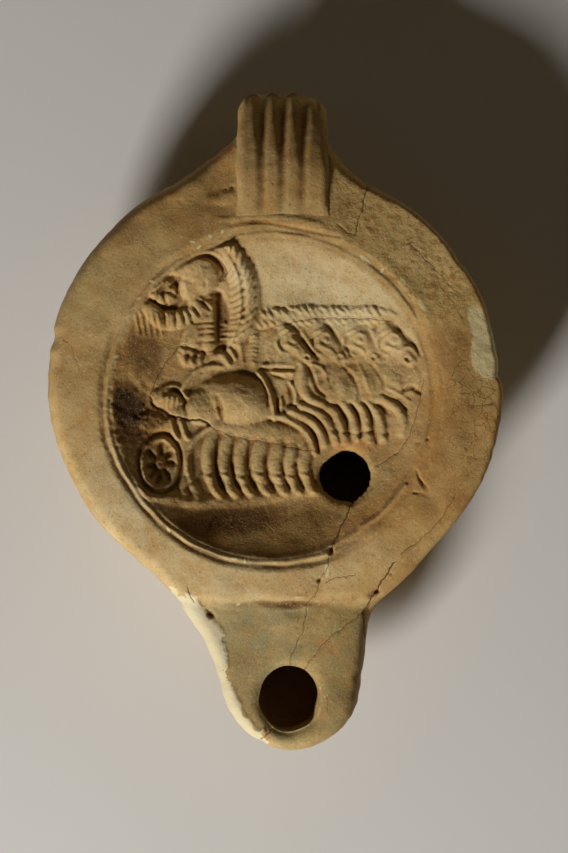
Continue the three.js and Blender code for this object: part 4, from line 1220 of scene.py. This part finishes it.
def soiled_and_shaded(x, y, disc):
    """Dirt in the disc, round its edge and at the handle's foot, with painted shade low in the disc and along
    its lower edge, in the ring's groove at the lower left, and in strips by the wheel, haunch and torso.
    """
    distance, bearing = from_disc(x, y)
    # Painted shadow: the strips above the wheel (-19.9, -6.9) and above the haunch (-5, 5.5), and the slot
    # beside the torso (-8.6, 13.6). The blots low in the disc are dirt deepened into painted shade; the rest
    # is dirt.
    dirt = blot(*on_picture(x, y), [(-25.6, -2.4, 3.6, 5.2, 20, 1.7), (-17, -21.5, 7, 4, -45, 0.5),
                                    (-24.5, -4.5, 4.5, 8.0, 10, 1.0), (-19.9, -12.1, 3.0, 4.4, 0, 0.2),
                                    (-19.9, -6.9, 3.4, 0.8, 12, 0.7), (-19.4, 19.1, 2.2, 2.2, 0, 0.75),
                                    (-8.6, 13.6, 1.2, 4.4, 0, 0.7), (-22.5, 7.5, 4.0, 6.5, 15, 0.85),
                                    (-20, -16, 7, 4, -40, 0.45), (-8, -22.5, 14, 3.4, 8, 1.0),
                                    (8, -22, 9, 3.2, -8, 0.6), (-5, 5.5, 8, 3.0, 0, 0.45),
                                    (-11, -12, 8, 6, 0, 0.35), (0.2, 2.2, 2.4, 3.2, 0, 0.4)])
    dirt = np.maximum(dirt * disc, blot(x, y, [(-6, 43, 3.5, 6, 0, 0.35), (4, 49, 8, 2.5, 0, 0.5),
                                               (-11.5, 34.5, 3, 1, 10, 0.5), (3.0, -39.6, 3.5, 0.9, 0, 1.0),
                                               (17.7, -37.8, 1.6, 1.0, 20, 0.8),
                                               (-11.6, -41.5, 1.3, 0.6, -38, 1.0)]))
    # Painted shade: the disc's edge in its lower part, where the wall faces away from the light, is darkened.
    ledge = np.exp(-((distance - 28.1) / 0.9)**2) * smooth(-bearing, -40, 60) * 0.6
    dirt = np.maximum(dirt, ledge)
    # The ring's groove: dirt, with painted shade making it darker at the lower left, where its outer wall
    # faces away from the light, and lighter at the upper right.
    around = np.exp(-((distance - RING - 0.15 * np.sin(0.35 * bearing)) / 0.4)**2) * ring_left(bearing)
    around *= (0.4 + 0.15 * np.sin(0.2 * bearing) + 0.45 * hump(bearing, -125, 50)
               - 0.25 * hump(bearing, 50, 45))
    return np.maximum(dirt, around)


def plaster_side(x, y, z):
    """How far each place lies inside the plaster of the nozzle's left side."""
    flank = (x < 1) & (y < -34) & (x > -24)
    plaster = np.full(x.shape, -1.0)
    plaster[flank] = beside(x[flank], y[flank], np.array(PLASTER))
    return np.where(z > 14.8, np.minimum(plaster, (-36.2 - y) * 0.8), -1.0) - 0.9 * smooth(-y, 52, 63)


def pale_places(x, y):
    """Pale patches on the right shoulder, specks, the bare edge of a crack, and painted highlights on the
    moulded ring's upper right ridge and on the wick hole's lower right lip.
    """
    # (16.2, 22.3), (26.4, 14.2) and (23.0, 18.6) are painted highlights along the moulded ring's outer ridge
    # at the upper right, which faces the light.
    pale = blot(x, y, [(38.5, 5.8, 3.6, 5.4, 4, 1.1), (36.6, 11.0, 2.2, 4.0, 18, 0.9),
                       (4.4, -38.3, 1.3, 0.5, 0, 0.55), (-18.5, -37.5, 2.0, 1.4, -50, 0.7),
                       (9.3, -33.4, 0.5, 1.6, 0, 0.8), (16.2, 22.3, 1.8, 0.6, -42, 0.8),
                       (26.4, 14.2, 1.8, 0.6, -52, 0.75), (23.0, 18.6, 1.4, 0.4, -48, 0.7)])
    specks = [(-24.5, 15.3), (-22.0, 18.4), (-28.4, 5.0), (-27.8, -17.1), (-19.1, -26.0), (-7.3, -31.3),
              (-5.4, -31.6), (-4.9, -16.0), (-13.6, 24.6), (-11.6, 26.6), (-9.4, 27.4), (-14.8, 25.6),
              (19.2, 20.4), (-27.6, -11.6), (-1.9, -63.6), (-2.3, -62.4), (-6.6, -39.6)]
    pale = np.maximum(pale, blot(x, y, [(a, b, 0.7, 0.35, 50 * a, 0.75) for a, b in specks]))
    crack_edge = trail(x, y, SHOULDER_CRACK, 0.3, 0.5)
    # Painted highlight: the wick hole's lower right lip, lightened where the light catches its wall.
    lower_right = np.roll(wick_edge(0.35), 34, 0)[:46]
    painted_lip_highlight = trail(x, y, lower_right, 0.5, 0.45)
    return np.maximum.reduce([pale, crack_edge, painted_lip_highlight])


def traces(skin, p, normal_z):
    """The measures that colour follows, for each corner of the finished mesh."""
    x, y, z = p.T
    u, v = on_picture(x, y)
    distance, bearing = from_disc(x, y)
    surface = plain_top(x, y) - 3.0 - 4.6 * (distance < PICTURE_REACH)
    on_top = smooth(z - surface, 0, 0.8) * (normal_z > -0.2)
    handle = smooth(y, 29.3, 29.8) * (abs(x - HANDLE_X) < HANDLE_WIDTH / 2 + 0.4) * smooth(z, 21, 24)
    disc = smooth(28.8 - distance, 0, 0.8)
    hollow = np.maximum(skin.hollow.at(u, v), 0) * disc + np.maximum(skin.sunk.at(x, y), 0) * (1 - disc)
    proud = np.maximum(-skin.hollow.at(u, v), 0) * disc + np.maximum(-skin.sunk.at(x, y), 0) * (1 - disc)
    across = x - HANDLE_X
    flutes = (0.5 + 0.5 * np.cos(2 * np.pi * across / RIB))**2 * (abs(across) < 1.5 * RIB + 0.2)
    flutes = flutes * smooth(y, 30, 34)
    seam_line = np.exp(-((y - 29.3 - 0.12 * np.sin(2.1 * x)) / 0.3)**2)
    seam_line *= abs(across) < HANDLE_WIDTH / 2 + 0.5
    recess = np.clip(hollow * 2.2, 0, 1) * (1 - handle) + handle * 0.55 * flutes
    recess = np.maximum(recess, 0.6 * seam_line * (0.5 + 0.5 * np.sin(1.3 * x)))
    recess *= on_top
    ringed = np.exp(-((distance - RING) / 1.2)**2) * ring_left(bearing)
    recess *= 1 - 0.45 * ringed
    crack_side, crack_dark, crack_warm = crack_places(x, y)
    crack_dark *= on_top * (1 - handle)

    # Dirt, with painted shade in the lower disc, along its lower edge, in the ring's groove and in the
    # picture's slots.
    dirt = soiled_and_shaded(x, y, disc)
    side = distance_inside(x, y, skin.outline)
    plaster = plaster_side(x, y, z)
    pale = pale_places(x, y) * on_top
    foot = trail(x, y, [(-8.2, 28.4), (-3.8, 29.2), (0, 28.9), (7, 27.5), (11.6, 26.5)], 0.5, 0.9)

    # A pale wash over parts of the shoulder and disc; on the upper right shoulder, which faces away from the
    # light, it is painted light that brightens the shade.
    pale_wash_and_painted_light = blot(x, y, [(-12, -33.5, 15, 5.5, -14, 0.6), (27, 24, 9, 9, 0, 1.0), (30, 30, 6, 5, -45, 0.9),
                       (-27, -21, 8, 9, 0, 0.9), (13, -32, 10, 4.5, 12, 0.7), (9, 17, 15, 7.5, -12, 1.0),
                       (-3, 20, 9, 4, 0, 0.7), (22, 12, 6, 9, 30, 0.4)]) * on_top
    orange = blot(x, y, [(-20.5, 33.0, 4.0, 1.6, 30, 0.6), (20.5, 33.8, 4.2, 1.6, -35, 0.7),
                         (8.5, -46.6, 3.5, 1.0, -28, 0.6), (14.0, -11.2, 5.0, 1.1, 4, 0.9),
                         (-1.7, -62.9, 1.0, 0.8, 0, 0.9), (3.5, -60.5, 4.0, 1.2, 0, 0.6),
                         (-15.5, 4, 3.0, 2.0, 30, 0.25), (30.5, -18.0, 3, 7, 30, 0.4),
                         (-9.5, 41.5, 2.0, 4.0, 0, 0.7), (12.2, 40.5, 1.8, 3.0, 0, 0.4)])
    orange = np.maximum(orange, foot * (1 - handle)) * on_top
    repair = (1 - ring_left(bearing)) * smooth(distance, 24.5, 27.5) * (1 - smooth(distance, 31.6, 34))
    repair = np.maximum(repair, blot(x, y, [(24.5, -12.5, 7, 6.5, -30, 1.0)]) * disc) * on_top
    grey = nozzle_share(y) * on_top
    granular = smooth(x + 0.8 * y, 24, 38) * smooth(distance, 30, 31.5) * smooth(y, 9, 14)
    granular *= smooth(x + 0.2 * y, -2, 8) * on_top * (1 - handle)
    # Painted shade: the shoulder's right and upper parts and the disc's lower and left walls, which face away
    # from the light, are tinted warmer and more saturated.
    painted_shade_warmth = np.maximum(smooth(x, -4, 18), smooth(y, 14, 34)) * (1 - disc) * (1 - 0.6 * handle)
    painted_shade_warmth = np.maximum(painted_shade_warmth, disc * np.maximum(smooth(-y, 14, 24), smooth(-x, 14, 24)))
    crazed = blot(x, y, [(36.6, -5.5, 6.0, 10.5, 8, 1.0)]) * on_top * smooth(distance, 30.5, 32)
    inside = 1 - np.maximum(on_top, smooth(1.6 - side, 0, 0.4) + (normal_z < -0.35))
    inside = np.clip(inside, 0, 1) * (z > 3.2) * (y < 39) * (1 - 0.9 * smooth(z, 18, 21.5))
    return {"recess": recess, "proud": np.clip(proud * 2.5, 0, 1) * on_top * (1 - handle),
            "dirt": dirt * on_top, "crack_side": crack_side, "crack_dark": crack_dark,
            "crack_warm": crack_warm, "plaster": plaster, "pale": pale, "orange": orange, "pale_wash_and_painted_light": pale_wash_and_painted_light,
            "repair": repair, "grey": grey, "crazed": crazed, "inside": inside, "disc": disc,
            "granular": granular, "painted_shade_warmth": painted_shade_warmth}


def store(mesh, measures):
    """Keep measures on a mesh, one number for each corner."""
    for name, values in measures.items():
        layer = mesh.attributes.new(name, "FLOAT", "POINT")
        layer.data.foreach_set("value", np.clip(values, -4, 4).astype(np.float32))


def corners_of(mesh):
    """Every corner's place in millimetres and its normal."""
    spots, ways = np.empty(len(mesh.vertices) * 3), np.empty(len(mesh.vertices) * 3)
    mesh.vertices.foreach_get("co", spots)
    mesh.vertices.foreach_get("normal", ways)
    return spots.reshape(-1, 3) / MM, ways.reshape(-1, 3)


# --- fired clay ----------------------------------------------------------------------------------------

class Value:
    """A number a material works out, written with ordinary arithmetic."""

    def __init__(self, paint, socket):
        self.paint, self.socket = paint, socket

    def __add__(self, other):
        return self.paint.math("ADD", self, other)

    def __sub__(self, other):
        return self.paint.math("SUBTRACT", self, other)

    def __rsub__(self, other):
        return self.paint.math("SUBTRACT", other, self)

    def __mul__(self, other):
        return self.paint.math("MULTIPLY", self, other)

    __radd__, __rmul__ = __add__, __mul__


class Paint:
    """One material and the nodes it is worked out by."""

    def __init__(self, name):
        self.material = bpy.data.materials.new(name)
        self.material.use_nodes = True
        self.tree = self.material.node_tree
        self.tree.nodes.clear()
        self.place = self.node("ShaderNodeTexCoord", output="Object")
        self.colour = None

    def plug(self, socket, value):
        """Link a worked-out value to a socket, or set a plain one."""
        if isinstance(value, Value):
            self.tree.links.new(value.socket, socket)
        else:
            socket.default_value = value

    def node(self, kind, settings=None, output=0, **inputs):
        """Any node: its type, settings and inputs, giving the output asked for."""
        made = self.tree.nodes.new(kind)
        for key, value in (settings or {}).items():
            setattr(made, key, value)
        for key, value in inputs.items():
            self.plug(made.inputs[key.replace("_", " ")], value)
        return Value(self, made.outputs[output]) if len(made.outputs) else None

    def reckon(self, kind, operation, values):
        """One sum on numbers or on vectors."""
        made = self.tree.nodes.new(kind)
        made.operation = operation
        for socket, value in zip(made.inputs, values):
            self.plug(socket, value)
        return Value(self, made.outputs[0])

    def math(self, operation, *values):
        return self.reckon("ShaderNodeMath", operation, values)

    def vectors(self, operation, *values):
        return self.reckon("ShaderNodeVectorMath", operation, values)

    def blend(self, a, b, share):
        """Two colours mixed by a share of the second."""
        made = self.tree.nodes.new("ShaderNodeMix")
        made.data_type, made.clamp_factor = "RGBA", True
        for index, value in ((0, share), (6, a), (7, b)):
            self.plug(made.inputs[index], value)
        return Value(self, made.outputs[2])

    def coat(self, shade, share):
        """Lay one more colour over what is there, by a share."""
        self.colour = self.blend(self.colour, shade if isinstance(shade, Value) else tone(*shade), share)

    def noise(self, size, detail=3.0, rough=0.55, shift=0.0):
        """Cloudy variation, 0 to 1, with lumps of a size in millimetres."""
        return self.node("ShaderNodeTexNoise", {"noise_dimensions": "4D"}, "Fac", Vector=self.place, W=shift,
                         Scale=1 / (size * MM), Detail=detail, Roughness=rough)

    def step(self, value, start, end):
        """0 below start, 1 above end, soft between."""
        return self.node("ShaderNodeMapRange", {"interpolation_type": "SMOOTHSTEP"}, "Result", Value=value,
                         From_Min=start, From_Max=end)

    def trace(self, name):
        """A measure stored on the mesh."""
        return self.node("ShaderNodeAttribute", {"attribute_name": name}, "Fac")


def tone(red, green, blue):
    return red, green, blue, 1.0


def fired_clay():
    """The lamp's one material: warm clay, then firing tints, wear, dirt, repairs, cracks, and painted light
    and shade laid over it.
    """
    paint = Paint("fired clay")
    measures = "recess proud dirt pale orange repair grey crazed inside granular".split()
    recess, proud, dirt, pale, orange, repair, grey, crazed, inside, granular = map(paint.trace, measures)
    broad = paint.noise(9, 4, 0.6)
    patches = paint.noise(3.5, 4, 0.6, 3.0)
    mottle = paint.noise(1.1, 4, 0.65, 5.0)
    grit = paint.noise(0.3, 2, 0.6, 9.0)
    sand = paint.noise(0.5, 3, 0.75, 17.0)

    paint.colour = paint.blend(tone(0.41, 0.25, 0.085), tone(0.56, 0.38, 0.155),
                               paint.step(broad, 0.36, 0.62))
    paint.coat((0.52, 0.40, 0.18), paint.step(patches, 0.5, 0.72) * 0.6)
    paint.coat((0.48, 0.25, 0.065), paint.step(paint.noise(5, 3, 0.6, 14.0), 0.52, 0.7) * 0.55)
    paint.coat((0.36, 0.30, 0.14), grey * (0.4 + paint.step(patches, 0.42, 0.62) * 0.55))
    paint.coat((0.46, 0.245, 0.075), repair * 0.55)
    paint.coat((0.31, 0.175, 0.055), paint.step(mottle, 0.56, 0.74) * 0.5)
    paint.coat((0.68, 0.51, 0.25), paint.step(mottle, 0.46, 0.3) * 0.35)
    paint.coat((0.70, 0.53, 0.26), proud * paint.step(patches, 0.3, 0.6) * 0.5)
    paint.coat((0.53, 0.21, 0.045), orange * 0.6 * paint.step(mottle, 0.3, 0.6))
    # Pale wash, with painted light on the shaded upper right shoulder.
    paint.coat((0.70, 0.60, 0.36), paint.trace("pale_wash_and_painted_light") * paint.step(patches, 0.25, 0.6) * 0.6)
    paint.coat((0.66, 0.50, 0.22), granular * 0.6)
    paint.coat((0.42, 0.215, 0.055), granular * paint.step(mottle, 0.5, 0.6) * 0.6)
    # Painted shade: a warmer, more saturated tint where the surface faces away from the light.
    paint.coat(paint.vectors("MULTIPLY", paint.colour, (1.0, 0.91, 0.76)), paint.trace("painted_shade_warmth"))
    soil = paint.step(recess + (mottle - 0.5) * 0.5, 0.12, 0.75)
    paint.coat((0.20, 0.09, 0.02), soil * 0.8)
    # Dirt and painted shade, from one measure; where it is strongest, the darkest coat gives black deposits.
    spread_dirt_and_shade = paint.step(dirt + (patches - 0.5) * 0.9 + (mottle - 0.5) * 0.5, 0.25, 0.9)
    paint.coat((0.165, 0.072, 0.015), spread_dirt_and_shade * 0.85)
    paint.coat((0.05, 0.022, 0.007), paint.step(dirt + (mottle - 0.5) * 2.0, 0.95, 1.3) * 0.85)
    paint.coat((0.19, 0.10, 0.03), paint.step(sand, 0.54, 0.70) * 0.65)
    paint.coat((0.78, 0.62, 0.34), paint.step(grit, 0.56, 0.72) * 0.5)
    # Pale patches, specks and a crack's edge, with painted highlights on the ring's upper right ridge and on
    # the wick hole's lip.
    pale_share = paint.step(pale + (mottle - 0.5) * 0.7, 0.4, 0.6)
    paint.coat((0.78, 0.68, 0.36), pale_share * 0.75)
    plaster = paint.step(paint.trace("plaster") + (mottle - 0.5) * 0.7, -0.05, 0.12)
    paint.coat(paint.blend(tone(0.68, 0.57, 0.33), tone(0.74, 0.68, 0.48), patches), plaster * 0.85)
    wobble = paint.node("ShaderNodeTexNoise", {}, "Color", Vector=paint.place, Scale=900.0)
    bent = paint.vectors("MULTIPLY_ADD", wobble, (0.0012, 0.0012, 0.0012), paint.place)
    lines = paint.node("ShaderNodeTexVoronoi", {"feature": "DISTANCE_TO_EDGE"}, "Distance", Vector=bent,
                       Scale=1 / (1.9 * MM))
    craze = (1 - pale) * paint.step(lines, 0.04, 0.01) * paint.step(crazed, 0.15, 0.45)
    craze *= paint.step(patches, 0.36, 0.5)
    paint.coat((0.18, 0.085, 0.03), craze * 0.7)
    side, warm = paint.trace("crack_side"), paint.trace("crack_warm")
    crack_steps = paint.math("ABSOLUTE", side + (mottle - 0.5) * 1.6)
    crack = paint.step(crack_steps, 1.4, 0.6) * paint.trace("crack_dark")
    crack_tone = paint.blend(tone(0.055, 0.026, 0.01), tone(0.30, 0.125, 0.035), warm)
    paint.coat(crack_tone, crack * 1.15)
    paint.coat((0.13, 0.065, 0.022), inside * 0.6)
    pin = paint.step(paint.noise(0.7, 2, 0.5, 21.0), 0.72, 0.8)
    paint.coat((0.11, 0.055, 0.02), pin * 0.6)

    height = broad * 0.25 + patches * 0.32 + mottle * 0.24 + sand * 0.22 + grit * 0.13
    height = height * (1 - 0.3 * repair) * (0.6 + 0.4 * paint.trace("disc"))
    height = height - pin * 0.12 + granular * mottle * 0.15 - craze * 0.06 - crack * 0.12
    bump = paint.node("ShaderNodeBump", {}, "Normal", Strength=0.65, Distance=0.0009, Height=height)
    shader = paint.node("ShaderNodeBsdfPrincipled", {}, "BSDF", Base_Color=paint.colour,
                        Roughness=0.8 + paint.step(mottle, 0.3, 0.7) * 0.12, Normal=bump)
    shader.socket.node.inputs["Specular IOR Level"].default_value = 0.3
    paint.node("ShaderNodeOutputMaterial", Surface=shader)
    return paint.material


spots, ways = corners_of(lamp.data)
store(lamp.data, traces(skin, spots, ways[:, 2]))
lamp.data.materials.clear()
lamp.data.materials.append(fired_clay())
lamp.data.polygons.foreach_set("material_index", [0] * len(lamp.data.polygons))
lamp.data.polygons.foreach_set("use_smooth", [True] * len(lamp.data.polygons))
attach(lamp, "root")
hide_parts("lamp")


# --- table, light and camera ---------------------------------------------------------------------------

AIM = Vector((0, -0.007, 0.02))  # what the lights point at, in metres
CAMERA_PLACE = 1.64, -7.55, 668


def table():
    """The pale floor the lamp stands on."""
    half = 1.5  # metres
    floor = bpy.data.objects.new("table", mesh_of("table", np.array(
        [(-half, -half, 0), (half, -half, 0), (half, half, 0), (-half, half, 0)]) / MM, [(0, 1, 2, 3)]))
    bpy.context.scene.collection.objects.link(floor)
    paint = Paint("table")
    colour = paint.blend(tone(0.80, 0.79, 0.76), tone(0.74, 0.73, 0.70), paint.noise(60, 2))
    shader = paint.node("ShaderNodeBsdfPrincipled", {}, "BSDF", Base_Color=colour, Roughness=0.7)
    paint.node("ShaderNodeOutputMaterial", Surface=shader)
    floor.data.materials.append(paint.material)


def soft_light(name, azimuth, elevation, distance, size, power, colour):
    """A square soft light turned to the lamp; azimuth is counter-clockwise from +X."""
    light = bpy.data.lights.new(name, "AREA")
    light.size, light.energy, light.color = size, power, colour
    holder = bpy.data.objects.new(name, light)
    a, e = math.radians(azimuth), math.radians(elevation)
    away = Vector((math.cos(a) * math.cos(e), math.sin(a) * math.cos(e), math.sin(e)))
    holder.location = AIM + away * distance
    holder.rotation_euler = away.to_track_quat("Z", "Y").to_euler()
    bpy.context.scene.collection.objects.link(holder)


def world_light(strength):
    """Faint warm light from all round."""
    world = bpy.data.worlds.new("room")
    world.use_nodes = True
    world.node_tree.nodes["Background"].inputs["Color"].default_value = tone(1.0, 0.84, 0.6)
    world.node_tree.nodes["Background"].inputs["Strength"].default_value = strength
    bpy.context.scene.world = world


table()
soft_light("window", 238, 28, 0.9, 0.2, 8.5, (1.0, 0.97, 0.93))
soft_light("bounce", 28, 36, 1.0, 0.8, 0.42, (1.0, 0.78, 0.46))
world_light(0.02)

eye = bpy.data.cameras.new("camera")
eye.lens, eye.sensor_width = 150.8, 36
camera = bpy.data.objects.new("camera", eye)
camera.location = [place * MM for place in CAMERA_PLACE]
bpy.context.scene.collection.objects.link(camera)
bpy.context.scene.camera = camera
bpy.context.scene.view_settings.view_transform = "Standard"
